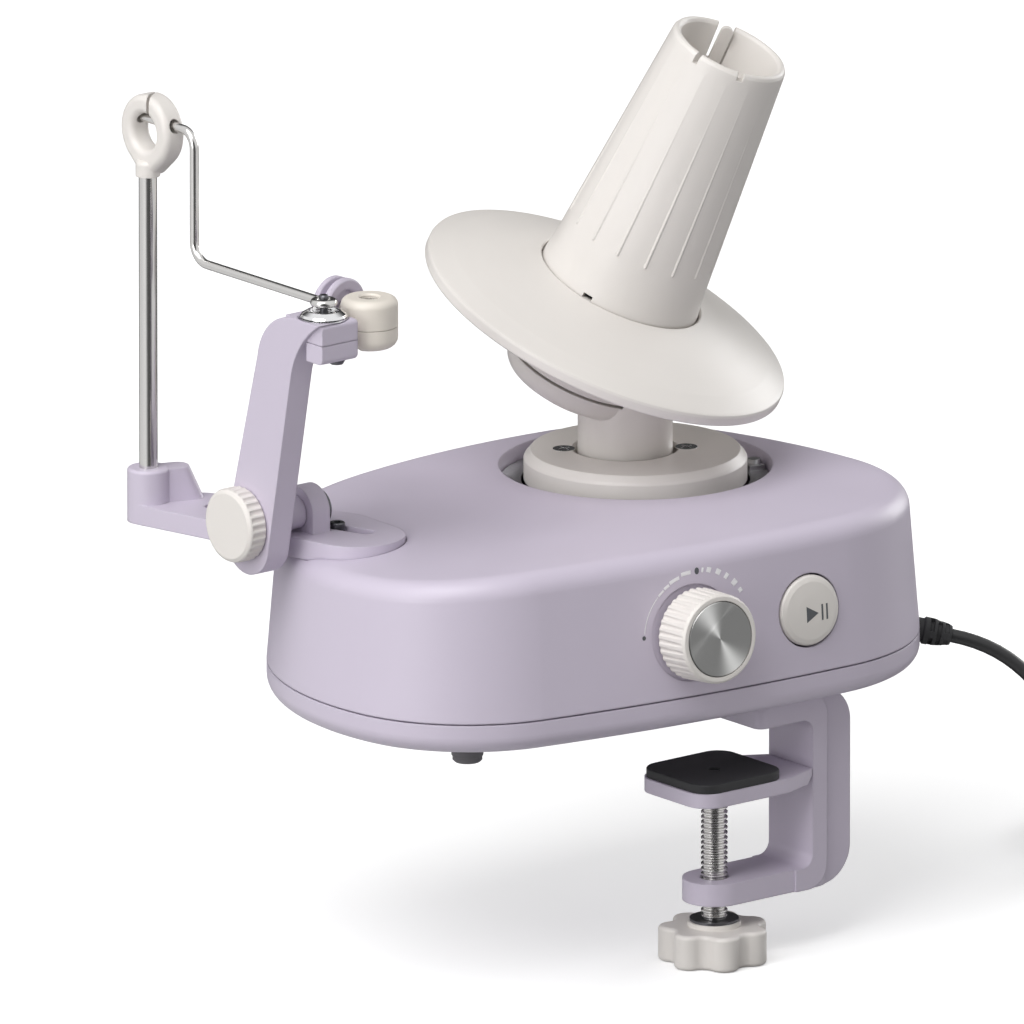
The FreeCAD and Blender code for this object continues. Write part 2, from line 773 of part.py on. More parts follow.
def cone_radius(height):
    share = (height - HOLE_TOP) / (CONE_HIGH - HOLE_TOP)
    return CONE_LOW_R + (CONE_HIGH_R - CONE_LOW_R) * share


def cone_rib(turn):
    """A slim rib with a round lower tip that sinks into the wall near the top."""
    low = Vector(cone_radius(RIB_LOW) - RIB_R + RIB_PROUD, 0, RIB_LOW)
    high = Vector(cone_radius(RIB_HIGH) - RIB_R - 0.05, 0, RIB_HIGH)
    way = high - low
    rib = Part.makeCylinder(RIB_R, way.Length, low, way)
    rib = rib.fuse(Part.makeSphere(RIB_R, low))
    rib.rotate(Vector(0, 0, 0), Vector(0, 0, 1), turn)
    return rib


def turned_block(x, y, z, turn):
    """A block beside the axis, turned about it by degrees."""
    shape = block(x, y, z)
    shape.rotate(Vector(0, 0, 0), Vector(0, 0, 1), turn)
    return shape


def cone_wall():
    top = CONE_HIGH
    rim = CONE_HIGH_R
    base = SEAT_TOP + 0.1
    foot = [(CONE_LOW_R - 2.0, base), (CONE_LOW_R + 0.55, base), (CONE_LOW_R + 0.45, HOLE_TOP),
            (cone_radius(19) + 0.2, 19), (cone_radius(25), 25)]
    lip = [(rim + 0.2, top - 3.0), (rim, top - 1.5), (rim - 0.7, top - 0.4), (rim - 1.6, top),
           (rim - 2.4, top - 0.3), (rim - 3.2, top - 1.3), (16.6, 102), (cone_radius(98) - 8, 98)]
    inside = [(cone_radius(90) - CONE_WALL - 1, 90), (cone_radius(25) - CONE_WALL, 25)]
    return turned(foot + lip + inside)


def yarn_cone():
    top = CONE_HIGH
    web = tube(CONE_LOW_R - 3, SHAFT_R + 0.1, 60, 63).common(turned([
        (0, 50), (cone_radius(50) - 1, 50), (cone_radius(70) - 1, 70), (0, 70)]))
    wall = fused([cone_wall(), web] + [cone_rib(i * 360 / RIBS) for i in range(RIBS)])
    cuts = []
    for turn, width, deep in CONE_NOTCHES + [BACK_SLOT]:
        cuts.append(turned_block((10, 30), (-width / 2, width / 2), (top - deep, top + 5), turn))
    side = TONGUE_WIDE / 2 + 0.4
    cuts.append(turned_block((14, TONGUE_OUT + 0.3), (-side, side), (86, top + 5), TONGUE_TURN))
    side = LATCH_WIDE / 2
    cuts.append(turned_block((CONE_LOW_R - 8, CONE_LOW_R + 5), (-side, side),
                             (HOLE_TOP - 0.3, HOLE_TOP + 1.5), LATCH_TURN))
    return on_spindle(wall.cut(Part.makeCompound(cuts)).removeSplitter())


def cone_core():
    """Inner sleeve with the spring tongue that grips the yarn's tail in the back slot."""
    sleeve = turned([(SHAFT_R, 63.2), (8, 63.2), (8, 98), (6, 100), (0, 100), (0, 96), (SHAFT_R, 96)])
    high = CONE_HIGH - 0.2
    side = TONGUE_WIDE / 2
    tongue = block((5, TONGUE_OUT), (-side, side), (88, high))
    tongue = tongue.makeFillet(side - 0.1, [e for e in edges_at(tongue, high) if e.BoundBox.XLength > 5])
    tongue = tongue.cut(block((4, TONGUE_IN), (-3, 3), (92, high + 5))).cut(cylinder(7.5, 80, 130))
    tongue.rotate(Vector(0, 0, 0), Vector(0, 0, 1), TONGUE_TURN)
    return on_spindle(sleeve.fuse(tongue).removeSplitter())


# Front controls

def ridged(body, radius, low, high, count, groove):
    cuts = []
    for i in range(count):
        angle = 2 * math.pi * i / count
        place = direction(angle) * (radius + groove * 0.45)
        cuts.append(cylinder(groove, low, high, place.x, place.y))
    return body.cut(Part.makeCompound(cuts))


def speed_knob():
    body = turned([(0, 3), (6, 3), (6, 0.8), (KNOB_R - 1.2, 0.8), (KNOB_R, 1.8),
                   (KNOB_FACE_R + 0.1, KNOB_DEPTH - 1.2), (KNOB_FACE_R - 0.8, KNOB_DEPTH),
                   (14.4, KNOB_DEPTH), (14.4, KNOB_DEPTH - 1.0), (0, KNOB_DEPTH - 1.0)])
    hollow = turned([(3, 0), (3, 12), (0, 12), (0, 0)])
    skirt = turned([(6, 0), (KNOB_R - 2.4, 0), (KNOB_R - 2.6, 12), (6, 12)])
    body = ridged(body, KNOB_R - 0.2, 0, KNOB_DEPTH - 0.7, KNOB_RIDGES, 1.0)
    return on_wall(body.cut(hollow).cut(skirt), KNOB_X, KNOB_Y)


def knob_cap():
    cap = turned([(0, KNOB_DEPTH - 1.0), (14.3, KNOB_DEPTH - 1.0), (14.3, KNOB_DEPTH - 0.3),
                  (13.9, KNOB_DEPTH + 0.1), (0, KNOB_DEPTH + 0.1)])
    return on_wall(cap, KNOB_X, KNOB_Y)


def speed_shaft():
    return on_wall(cylinder(3, -10.0, 12), KNOB_X, KNOB_Y)


def speed_potentiometer():
    can = tube(8, 3.05, -12, -4.2)
    bush = tube(3.5, 3.05, -4.2, -0.2)
    back = cylinder(8, -13.5, -12)
    return on_wall(fused([can, bush, back]), KNOB_X, KNOB_Y)


def on_board(shape):
    """Place a shape in the frame of the control board, half-way between knob and button."""
    return on_wall(shape, (KNOB_X + BUTTON_X) / 2, (KNOB_Y + BUTTON_Y) / 2)


def play_button():
    body = turned([(0, -2), (BUTTON_R, -2), (BUTTON_R, 1.4), (BUTTON_R - 0.7, 2.6),
                   (BUTTON_R - 2.4, 3.3), (6, 3.7), (0, 3.8)])
    stem = cylinder(3, -7.4, -2)
    return on_wall(body.fuse(stem).removeSplitter(), BUTTON_X, BUTTON_Y)


def control_board():
    board = on_board(block((-50, 38), (-17, 18), (-15.1, -13.5)))
    switch = on_wall(block((-6, 6), (-6, 6), (-13.8, -9.0)), BUTTON_X, BUTTON_Y)
    return board.fuse(switch)


# Clamp pieces

def upright_edges(shape, x):
    """Edges across the clamp at this x, so a fillet can round its outline."""
    return [e for e in shape.Edges if e.BoundBox.YLength > 20 and abs(e.BoundBox.XMax - x) < 0.1
            and e.BoundBox.XLength < 0.1]


def clamp_band():
    """The C's front band: a slab with round outer corners and a window with round inner ones."""
    band = block(BAND_X, (-JAW, JAW), (CLAMP_LOW, BASE_Z))
    corners = [e for e in upright_edges(band, BAND_X[1]) if e.BoundBox.ZLength < 0.1]
    band = band.makeFillet(9, corners)
    window = block((-20, JAW), (-JAW - 1, JAW + 1), (ARM_TOP, 0))
    corners = [e for e in upright_edges(window, JAW) if e.BoundBox.ZLength < 0.1]
    return band.cut(window.makeFillet(5, corners))


def clamp_frame():
    web = block((JAW, WEB_OUT), (-10.5, 10.5), (CLAMP_LOW, BASE_Z))
    corners = [e for e in upright_edges(web, WEB_OUT) if e.BoundBox.ZLength < 0.1]
    web = web.makeFillet(14, corners)
    upper = block((-JAW, JAW), (-JAW, JAW), (0, BASE_Z))
    upper = upper.makeFillet(3.5, [e for e in upper.Edges if e.BoundBox.XMax < 0
                                   and e.BoundBox.ZLength > 5])
    lower = strap((SCREW_X, 0, 12), (JAW + 2, 0, 12), CLAMP_LOW, ARM_TOP)
    body = fused([web, clamp_band(), upper, lower])
    cuts = [cylinder(SCREW_R + 0.4, -70, -50, SCREW_X, 0)]
    cuts.append(nut_prism(0.0))
    for x in (-7, 7):
        cuts.append(cylinder(1.55, 1.5, 12, x, 0))
    return body.cut(Part.makeCompound(cuts)).removeSplitter()


def nut_prism(shrink):
    size = 9.6 - shrink
    points = [(SCREW_X + size * math.cos(math.radians(60 * i + 30)),
               size * math.sin(math.radians(60 * i + 30))) for i in range(6)]
    return prism(points, CLAMP_LOW, CLAMP_LOW + 6.0)


def clamp_nut():
    return nut_prism(0.1).cut(cylinder(SCREW_R + RUN_CLEARANCE, -70, -50, SCREW_X, 0))


def clamp_frame_screws():
    screw = turned([(0, 2), (1.5, 2), (1.5, BASE_Z + WALL), (3.4, BASE_Z + WALL), (3.4, 14.6),
                    (0, 14.6)])
    return Part.makeCompound([screw.translated(Vector(x, 0, 0)) for x in (-7, 7)])


def clamp_plate():
    low = PLATE_TOP - PLATE_THICK
    left = PAD_X[0] - 0.9
    near = PAD_Y[0] - 0.5
    far = PAD_Y[1] + 0.6
    knee = -3.0
    end = JAW - 0.4
    points = [(left, near), (knee, near), (end, -JAW), (end, JAW), (knee, far), (left, far)]
    body = prism(points, low, PLATE_TOP)
    upright = [e for e in body.Edges if e.BoundBox.ZLength > 5]
    body = body.makeFillet(9, [e for e in upright if e.BoundBox.XMax < left + 0.5])
    upright = [e for e in body.Edges if e.BoundBox.ZLength > 5 and abs(e.BoundBox.XMax - knee) < 0.1]
    body = body.makeFillet(8, upright)
    heel = [e for e in edges_at(body, low) if e.BoundBox.XMin > end - 0.1]
    body = body.makeChamfer(3, heel)
    return body.cut(cylinder(3.5, low - 1, low + 3.6, SCREW_X, 0))


def clamp_pad():
    top = PLATE_TOP + PAD_THICK
    pad = block(PAD_X, PAD_Y, (PLATE_TOP, top))
    pad = pad.makeFillet(8, [e for e in pad.Edges if e.BoundBox.ZLength > 2])
    pad = pad.makeFillet(0.7, edges_at(pad, top))
    return pad.cut(cylinder(2.2, top - 1.0, top + 1, SCREW_X, 0))


def clamp_screw():
    top = PLATE_TOP - PLATE_THICK - 0.1
    root = SCREW_R - THREAD_DEPTH
    points = [(0, STAR_HIGH - 8), (root, STAR_HIGH - 8)]
    z = -73.0
    while z < top - THREAD_PITCH:
        points.append((root, z))
        points.append((SCREW_R, z + 0.55))
        points.append((SCREW_R, z + 1.05))
        points.append((root, z + 1.6))
        z += THREAD_PITCH
    points += [(root, top), (3.45, top), (3.45, top + 3.5), (0, top + 3.5)]
    return turned(points).translated(Vector(SCREW_X, 0, 0))


def star_knob():
    lobe_r = 5.8
    lobe_at = 15.2
    valley_r = 4.5
    half = math.pi / STAR_LOBES
    base = 2 * lobe_at * math.cos(half)
    extra = lobe_at ** 2 - (lobe_r + valley_r) ** 2
    valley_at = (base + math.sqrt(base ** 2 - 4 * extra)) / 2
    edges = []
    for i in range(STAR_LOBES):
        middle = 2 * half * i + STAR_TURN
        lobe = direction(middle) * lobe_at
        before = direction(middle - half) * valley_at
        after = direction(middle + half) * valley_at
        follow = direction(middle + 2 * half) * lobe_at
        start = lobe + (before - lobe).normalize() * lobe_r
        tip = direction(middle) * (lobe_at + lobe_r)
        end = lobe + (after - lobe).normalize() * lobe_r
        dip = direction(middle + half) * (valley_at - valley_r)
        next_start = follow + (after - follow).normalize() * lobe_r
        edges.append(Part.Arc(start, tip, end).toShape())
        edges.append(Part.Arc(end, dip, next_start).toShape())
    face = Part.Face(Part.Wire(edges))
    body = face.extrude(Vector(0, 0, STAR_HIGH - STAR_LOW)).translated(Vector(0, 0, STAR_LOW))
    body = body.makeFillet(1.6, edges_at(body, STAR_HIGH) + edges_at(body, STAR_LOW))
    collar = cylinder(10.1, STAR_HIGH - 1, STAR_HIGH + 1.8)
    body = body.fuse(collar)
    body = body.cut(cylinder(SCREW_R - THREAD_DEPTH, STAR_HIGH - 8, STAR_HIGH + 5))
    return body.translated(Vector(SCREW_X, 0, 0))


def thrust_washer():
    low = STAR_HIGH + 1.8
    return tube(9.2, SCREW_R - THREAD_DEPTH + 0.02, low, low + 1.0, SCREW_X, 0)


# Yarn guide pieces

def slot_strap(radius, low, high):
    return strap((*SLOT_FRONT, radius), (*SLOT_BACK, radius), low, high)


def guide_bracket():
    plate = bracket_plan(0, 0, POCKET_Z + 0.2, PLATE_Z)
    boss = cylinder(POST[2], POCKET_Z + 0.2, BOSS_TOP, POST[0], POST[1])
    boss = boss.makeFillet(1.2, edges_at(boss, BOSS_TOP))
    body = fused([plate, boss, post_rib(), ear_shape()])
    hinge = Vector(0, HINGE_Y, HINGE_Z)
    nut_room = rod(hinge + Vector(EAR_X[1], 0, 0), hinge + Vector(EAR_X[1] + 5, 0, 0), NUT_R + 0.3)
    cuts = [slot_strap(SLOT_R, STEP_Z, PLATE_Z + 0.01), slot_strap(2.0, 60, STEP_Z + 0.01),
            cylinder(GUIDE_POST_R, 74, 100, POST[0], POST[1]), nut_room,
            rod(hinge + Vector(-180, 0, 0), hinge + Vector(-130, 0, 0), 3.1)]
    for part in cuts:
        body = body.cut(part)
    return body.removeSplitter()


def post_rib():
    """Rib from the post's boss along the plate's back edge, level on top and steep at its end."""
    way = direction(math.radians(-21))
    side = Vector(-way.y, way.x, 0) * 4.6
    start = Vector(POST[0], POST[1], 0)
    low = PLATE_Z - 2
    high = BOSS_TOP - 0.3
    corners = [start + Vector(0, 0, low), start + way * 22.2 + Vector(0, 0, low),
               start + way * 15.6 + Vector(0, 0, high), start + Vector(0, 0, high)]
    corners = [c - side for c in corners]
    rib = Part.Face(Part.makePolygon(corners + corners[:1])).extrude(side * 2)
    slanted = [e for e in rib.Edges if e.BoundBox.ZLength > 10 and e.Length > 14]
    return rib.makeFillet(4, slanted)


def ear_shape():
    hinge = Vector(0, HINGE_Y, HINGE_Z)
    round_top = rod(hinge + Vector(EAR_X[0], 0, 0), hinge + Vector(EAR_X[1], 0, 0), EAR_R)
    low = PLATE_Z - 2
    leg = block(EAR_X, (HINGE_Y - EAR_R, HINGE_Y + EAR_R), (low, HINGE_Z))
    ear = round_top.fuse(leg).removeSplitter()
    return ear.cut(block((-160, -130), (60, 120), (60, low)))


def bracket_screw():
    """Screw whose tall head lies in the slot's step and clamps the bracket."""
    head = STEP_Z + 0.2
    screw = turned([(0, 57), (1.5, 57), (1.5, head), (3.0, head), (3.0, 79.6), (2.6, 80.0),
                    (1.4, 80.0), (1.4, 78.0), (0, 78.0)])
    return screw.translated(Vector(*BRACKET_SCREW, 0))


def on_hinge(shape):
    """Place a shape built along Z, with its heights as x, on the arm's hinge axis."""
    return placed(shape, Vector(0, HINGE_Y, HINGE_Z), Vector(1, 0, 0), Vector(0, 0, 1))


def hinge_bolt():
    start = ARM_X[0] - 5.7
    end = EAR_X[1] + NUT_THICK - 0.2
    return on_hinge(turned([(0, start), (BOLT_R, start), (BOLT_R, end - 0.5), (BOLT_R - 0.5, end), (0, end)]))


def hinge_nut():
    low = EAR_X[1]
    high = low + NUT_THICK
    return on_hinge(turned([(3.0, low), (NUT_R - 0.3, low), (NUT_R, low + 0.5), (NUT_R, high - 0.6),
                            (NUT_R - 0.7, high), (5.0, high), (4.6, high - 0.5), (3.0, high - 0.5)]))


def arm_knob():
    high = ARM_X[0] - 0.4
    low = high - ARM_KNOB_DEPTH
    radius = ARM_KNOB_R
    bore = BOLT_R + RUN_CLEARANCE
    body = turned([(0, low), (radius - 1.7, low), (radius - 0.5, low + 0.8), (radius, low + 2.0),
                   (radius, high - 0.8), (radius - 0.7, high), (bore, high), (bore, low + 2.4),
                   (0, low + 2.4)])
    return on_hinge(ridged(body, radius - 0.15, low + 1.6, high + 1, 30, 1.15))


def arm_point(y, z):
    return Vector(ARM_X[0], y, z)


def arm_side_face():
    """The arm's side outline: a shank that narrows upwards and sweeps forward to the head's top."""
    end = arm_point(*ARM_END)
    along = Vector(0, -math.sin(ARM_LEAN), math.cos(ARM_LEAN))
    out = Vector(0, -math.cos(ARM_LEAN), -math.sin(ARM_LEAN))
    front = end + out * ARM_END_R
    elbow = front + along * ((148.0 - front.z) / along.z)
    brow = arm_point(50.5, ARM_HEAD_TOP)
    crest = arm_point(66.0, ARM_HEAD_TOP)
    nape = arm_point(87.0, 151.7)
    away = nape - end
    turn = math.atan2(away.z, away.y) - math.acos(ARM_END_R / away.Length)
    back = end + Vector(0, math.cos(turn), math.sin(turn)) * ARM_END_R
    edges = [
        Part.Arc(back, end - along * ARM_END_R, front).toShape(),
        Part.makeLine(front, elbow),
        Part.Arc(elbow, arm_point(60.3, 161.6), brow).toShape(),
        Part.makeLine(brow, crest),
        Part.Arc(crest, arm_point(79.4, 165.0), nape).toShape(),
        Part.makeLine(nape, back),
    ]
    return Part.Face(Part.Wire(edges))


def on_wheel(shape):
    """Place a shape built along Z, its x upwards, on the wheel's level axis."""
    return placed(shape, Vector(*WHEEL), direction(WHEEL_TURN), Vector(0, 0, 1))


def wheel_arm():
    """Bar to the right of the shank and the upright plate behind the wheel."""
    drop = WHEEL[2] - 146.0
    bar = block((ARM_X[1] - 5.5, -132), (82, 90), (WHEEL[2] - drop, 151.5))
    bar = bar.makeFillet(2, [e for e in bar.Edges if e.BoundBox.ZLength > 5 and e.BoundBox.XMin > -133])
    low = -WHEEL_HALF - 3.2
    high = -WHEEL_HALF - 0.4
    plate = block((-drop, 0), (-6, 6), (low, high)).fuse(cylinder(6, low, high))
    return bar.fuse(on_wheel(plate))


def head_edges(shape, z):
    """The front right corner's upright edge, and the front and right edges at a height."""
    found = []
    for edge in shape.Edges:
        box = edge.BoundBox
        level = abs(box.ZMin - z) < 1e-4 and abs(box.ZMax - z) < 1e-4
        front = box.YMax < HEAD_FRONT + 1e-4
        right = box.XMin > HEAD_X[1] - 1e-4
        if front and right or level and (front or right):
            found.append(edge)
    return found


def guide_arm():
    blade = arm_side_face().extrude(Vector(ARM_X[1] - ARM_X[0], 0, 0))
    head = block(HEAD_X, (HEAD_FRONT, HEAD_BACK), (HEAD_SEAM_Z, ARM_HEAD_TOP))
    head = head.makeFillet(1.8, head_edges(head, ARM_HEAD_TOP))
    root = block((ARM_X[1] - 1, HEAD_X[1]), (CAP_BACK + 0.2, HEAD_BACK), (HEAD_Z, HEAD_SEAM_Z))
    hinge = Vector(0, HINGE_Y, HINGE_Z)
    spacer = rod(hinge + Vector(ARM_X[1] - 1, 0, 0), hinge + Vector(EAR_X[0] - 0.3, 0, 0), SPACER_R)
    body = fused([blade, head, root, spacer, wheel_arm()])
    cuts = [head_cap_block(0.15)]
    cuts.append(rod(hinge + Vector(-190, 0, 0), hinge + Vector(-130, 0, 0), BOLT_R + RUN_CLEARANCE))
    cuts.append(on_wheel(cylinder(AXLE_R, -20, 20)))
    cuts.append(cylinder(TENSION_POST_R, 160, 190, *TENSION))
    dish = turned([(0, ARM_HEAD_TOP - 1.6), (DISH_R - 0.7, ARM_HEAD_TOP - 1.6), (DISH_R, ARM_HEAD_TOP + 0.1),
                   (DISH_R, 180), (0, 180)])
    cuts.append(dish.translated(Vector(*TENSION, 0)))
    for part in cuts:
        body = body.cut(part)
    return body.removeSplitter()


def head_cap_block(grow):
    """The cap's outline: in front of the shank, and beside it as far back as its root."""
    top = HEAD_SEAM_Z + 0.05 * grow
    front = block((HEAD_X[0] - grow, HEAD_X[1] + grow), (HEAD_FRONT - grow, 60 + grow), (HEAD_Z - grow, top))
    side = block((ARM_X[1] + 0.2 - grow, HEAD_X[1] + grow), (58, CAP_BACK + grow), (HEAD_Z - grow, top))
    return front.fuse(side).removeSplitter()


def arm_head_cap():
    cap = head_cap_block(0)
    cap = cap.makeFillet(1.8, head_edges(cap, HEAD_Z))
    cap = cap.cut(block((-200, -100), (40, 80), (HEAD_SEAM_Z - 0.2, HEAD_SEAM_Z + 1)))
    lug = block((HEAD_X[1] - 4, ROLLER[0] + 3), (ROLLER[1] - 4, ROLLER[1] + 4), (157.6, 160.6))
    cap = cap.fuse(lug)
    cap = cap.cut(cylinder(AXLE_R, 150, 170, *ROLLER)).cut(cylinder(TENSION_POST_R, 150, 170, *TENSION))
    return cap.removeSplitter()


def cap_screw():
    screw = turned([(0, HEAD_Z - 1.7), (2.4, HEAD_Z - 1.7), (3.4, HEAD_Z), (0, HEAD_Z)])
    return screw.translated(Vector(-160.5, 55, 0))


def roller_base():
    low = ROLLER_LOW
    body = cylinder(ROLLER_R, low, ROLLER_SEAM - 0.1)
    body = body.makeFillet(4.2, edges_at(body, low)).translated(Vector(*ROLLER, 0))
    lug = block((HEAD_X[1] - 4, ROLLER[0] + 3.2), (ROLLER[1] - 4.2, ROLLER[1] + 4.2), (150, 160.8))
    return body.cut(lug).cut(cylinder(AXLE_R, 150, 170, *ROLLER))


def guide_roller():
    low = ROLLER_SEAM + 0.1
    top = ROLLER_TOP
    body = cylinder(ROLLER_R, low, top)
    body = body.makeFillet(3.0, edges_at(body, top))
    bore = turned([(0, low - 1), (2.05, low - 1), (2.05, top - 2.8), (3.8, top - 2.8), (3.8, top - 0.7),
                   (4.4, top + 0.1), (4.4, top + 1), (0, top + 1)])
    return body.cut(bore).translated(Vector(*ROLLER, 0))


def guide_axles():
    head = ROLLER_TOP - 2.6
    upright = turned([(0, 158), (AXLE_R, 158), (AXLE_R, head), (3.4, head), (3.4, head + 1.6),
                      (0, head + 1.6)])
    level = turned([(0, -7), (AXLE_R, -7), (AXLE_R, 2.2), (3.2, 2.2), (3.2, 3.0), (2.8, 3.4), (0, 3.4)])
    return Part.makeCompound([upright.translated(Vector(*ROLLER, 0)), on_wheel(level)])


def grooved_wheel():
    """Wheel with a deep groove and a recess in its front face."""
    edge = WHEEL_HALF
    radius = WHEEL_R
    floor = radius - 4.6
    body = turned([(2.05, -edge), (radius - 0.8, -edge), (radius, 0.8 - edge), (radius, -1.6),
                   (radius - 0.4, -1.2), (floor, -0.5), (floor, 0.5), (radius - 0.4, 1.2), (radius, 1.6),
                   (radius, edge - 0.8), (radius - 0.8, edge), (7.6, edge), (7.0, edge - 0.6),
                   (7.0, 2.1), (2.05, 2.1)])
    return on_wheel(body)


def on_tension(points):
    return turned(points).translated(Vector(*TENSION, 0))


def tension_post():
    stem = TENSION_POST_R
    return on_tension([(0, 163), (stem, 163), (stem, 176.4), (1.9, 177.0), (1.9, 177.8), (1.4, 178.4),
                       (0, 178.5)])


def tension_disc_low():
    """Thin saucer that lies loose in the head's dish."""
    low = ARM_HEAD_TOP - 1.5
    return on_tension([(1.7, low), (6.0, low), (9.0, low + 1.0), (9.0, low + 1.6), (6.0, low + 0.7),
                       (1.7, low + 0.7)])


def tension_disc_high():
    """Thin bell with a sunk middle."""
    low = ARM_HEAD_TOP + 0.35
    outside = [(8.5, low), (8.9, low + 0.25), (8.3, low + 1.1), (6.3, low + 2.3), (5.6, low + 2.45),
               (5.1, low + 2.2), (4.9, low + 1.6), (4.3, low + 1.1), (1.7, low + 1.0)]
    inside = [(1.7, low + 0.3), (4.6, low + 0.4), (5.6, low + 1.4), (7.9, low + 0.35)]
    return on_tension(outside + inside)


def guide_post():
    post = cylinder(GUIDE_POST_R, 76, GUIDE_POST_TOP)
    return post.translated(Vector(POST[0], POST[1], 0))


def on_ring(shape):
    """Place a shape built along Z on the ring's level axis, its x downwards."""
    return placed(shape, Vector(WIRE_X, POST[1], RING_Z), Vector(1, 0, 0), Vector(0, 0, -1))


def ring_body():
    """Drop shape, round at its edges, with a funnel at each end of its eye."""
    half = RING_THICK / 2
    drop = strap((0, 0, RING_R), (RING_Z - RING_FOOT - RING_FOOT_R, 0, RING_FOOT_R),
                 -half, half)
    drop = drop.makeFillet(2.6, edges_at(drop, half) + edges_at(drop, -half))
    drop = drop.cut(cylinder(EYE_R, -half - 1, half + 1))
    mouths = [e for e in edges_at(drop, half) + edges_at(drop, -half) if e.BoundBox.XMax < EYE_R + 0.1]
    return on_ring(drop.makeFillet(2.4, mouths))


def eyelet_ring():
    collar = cylinder(COLLAR_R, RING_FOOT, GUIDE_POST_TOP + 2, POST[0], POST[1])
    collar = collar.makeFillet(1.5, edges_at(collar, GUIDE_POST_TOP + 2))
    body = ring_body().fuse(collar)
    slit = block((-9, 9), (-0.6, 0.6), (4, 18))
    slit.rotate(Vector(0, 0, 0), Vector(0, 0, 1), 32)
    slit.translate(Vector(WIRE_X, POST[1], RING_Z))
    cuts = [slit, cylinder(GUIDE_POST_R, 200, GUIDE_POST_TOP, POST[0], POST[1])]
    cuts.append(rod(Vector(WIRE_X, POST[1] - 20, WIRE_HIGH_Z),
                    Vector(WIRE_X, POST[1] + 20, WIRE_HIGH_Z), 2.6))
    for part in cuts:
        body = body.cut(part)
    return body.removeSplitter()


# Round wire, tube and cord paths

def rounded_path(points, radii=None, straight_ends=True):
    """Wire of straight runs and tangent arcs; each radius is given or as large as the runs allow."""
    vectors = [Vector(*p) for p in points]
    edges = []
    used = []
    last = vectors[0]
    for i in range(1, len(vectors) - 1):
        into = vectors[i] - vectors[i - 1]
        away = vectors[i + 1] - vectors[i]
        turn = into.getAngle(away)
        if radii is None:
            radius = 0.45 * min(into.Length, away.Length) / math.tan(turn / 2)
        else:
            radius = radii[i - 1]
        used.append(radius)
        reach = radius * math.tan(turn / 2)
        start = vectors[i] - into.normalize() * reach
        end = vectors[i] + away.normalize() * reach
        centre_way = (away - into).normalize()
        sag = radius * (1 / math.cos(turn / 2) - 1)
        edges.append(Part.makeLine(last, start))
        edges.append(Part.Arc(start, vectors[i] + centre_way * sag, end).toShape())
        last = end
    edges.append(Part.makeLine(last, vectors[-1]))
    return Part.Wire(edges), used


def swept(path, radius):
    start = path.Edges[0].firstVertex().Point
    way = path.Edges[0].tangentAt(path.Edges[0].FirstParameter)
    ring = Part.Wire(Part.makeCircle(radius, start, way))
    return path.makePipeShell([ring], True, False)


def guide_wire():
    """Wire that hooks round the tension post, runs back, rises and passes through the ring."""
    x = WIRE_X
    points = [(x, POST[1] + 10.0, WIRE_HIGH_Z), (x, WIRE_DROP_Y, WIRE_HIGH_Z),
              (x, WIRE_DROP_Y, WIRE_LOW_Z), (x, TENSION[1] + EYE_BEND_R, WIRE_LOW_Z)]
    path, _ = rounded_path(points, WIRE_BENDS)
    body = swept(path, WIRE_R)
    eye = Part.makeTorus(EYE_BEND_R, WIRE_R - 0.2, Vector(*TENSION, WIRE_LOW_Z))
    return body.fuse(eye).removeSplitter()


def strain_relief():
    """Tapered sleeve with a flange inside the wall and split ribs outside."""
    core = turned([(CORD_R + 0.4, -12), (6.2, -12), (6.2, -9.5), (4.5, -9.5), (4.5, 1.0), (5.2, 1.6),
                   (5.1, 5), (4.2, RELIEF_OUT - 1.6), (3.6, RELIEF_OUT), (CORD_R, RELIEF_OUT),
                   (CORD_R, 4), (CORD_R + 0.4, 3)])
    cuts = []
    for i in range(3):
        low = 3.4 + i * 2.9
        for side in (0, 1):
            slot = tube(7, 3.7, low, low + 1.7)
            keep = block((-8, 8), (-1.3, 1.3), (low - 1, low + 3))
            keep.rotate(Vector(0, 0, 0), Vector(0, 0, 1), 90 * ((i + side) % 2))
            cuts.append(slot.cut(keep).common(block((-8, 8), (0, 8) if side else (-8, 0),
                                                    (low, low + 1.7))))
    return on_relief(core.cut(Part.makeCompound(cuts)))


def cord_run():
    path, radii = rounded_path(CORD_POINTS)
    body = swept(path, CORD_R)
    expected = math.pi * CORD_R ** 2 * path.Length
    print("cord radii", [round(r, 1) for r in radii], "length", round(path.Length, 1),
          "volume ratio", round(body.Volume / expected, 4))
    return body


def coil_frame():
    """The coil's plan frame: it starts on the cord's last run and winds to the right."""
    start = Vector(*CORD_POINTS[-1])
    way = (start - Vector(*CORD_POINTS[-2])).normalize()
    right = Vector(way.y, -way.x, 0)
    return start, way, right


def coil_place(turns):
    """Point and direction on the coil after a number of turns; the upper layer winds back out."""
    start, way, right = coil_frame()
    outer = COIL_MID_R + COIL_PITCH * LAYER_TURNS / 2
    half = LAYER_TURNS
    inner_turns = min(turns, 2 * half - turns)
    radius = outer - COIL_PITCH * inner_turns
    slope = -COIL_PITCH if turns < half else COIL_PITCH
    if abs(turns - half) < 1e-6:
        slope = 0.0
    climb = min(max((turns - half + 0.25) / 0.5, 0.0), 1.0)
    rise = COIL_PITCH * climb * climb * (3 - 2 * climb)
    steep = COIL_PITCH * 6 * climb * (1 - climb) / 0.5
    angle = 2 * math.pi * turns
    centre = start + right * outer
    out = right * -math.cos(angle) + way * math.sin(angle)
    along = right * math.sin(angle) + way * math.cos(angle)
    point = centre + out * radius + Vector(0, 0, rise)
    tangent = out * slope + along * (2 * math.pi * radius) + Vector(0, 0, steep)
    return point, tangent.normalize()


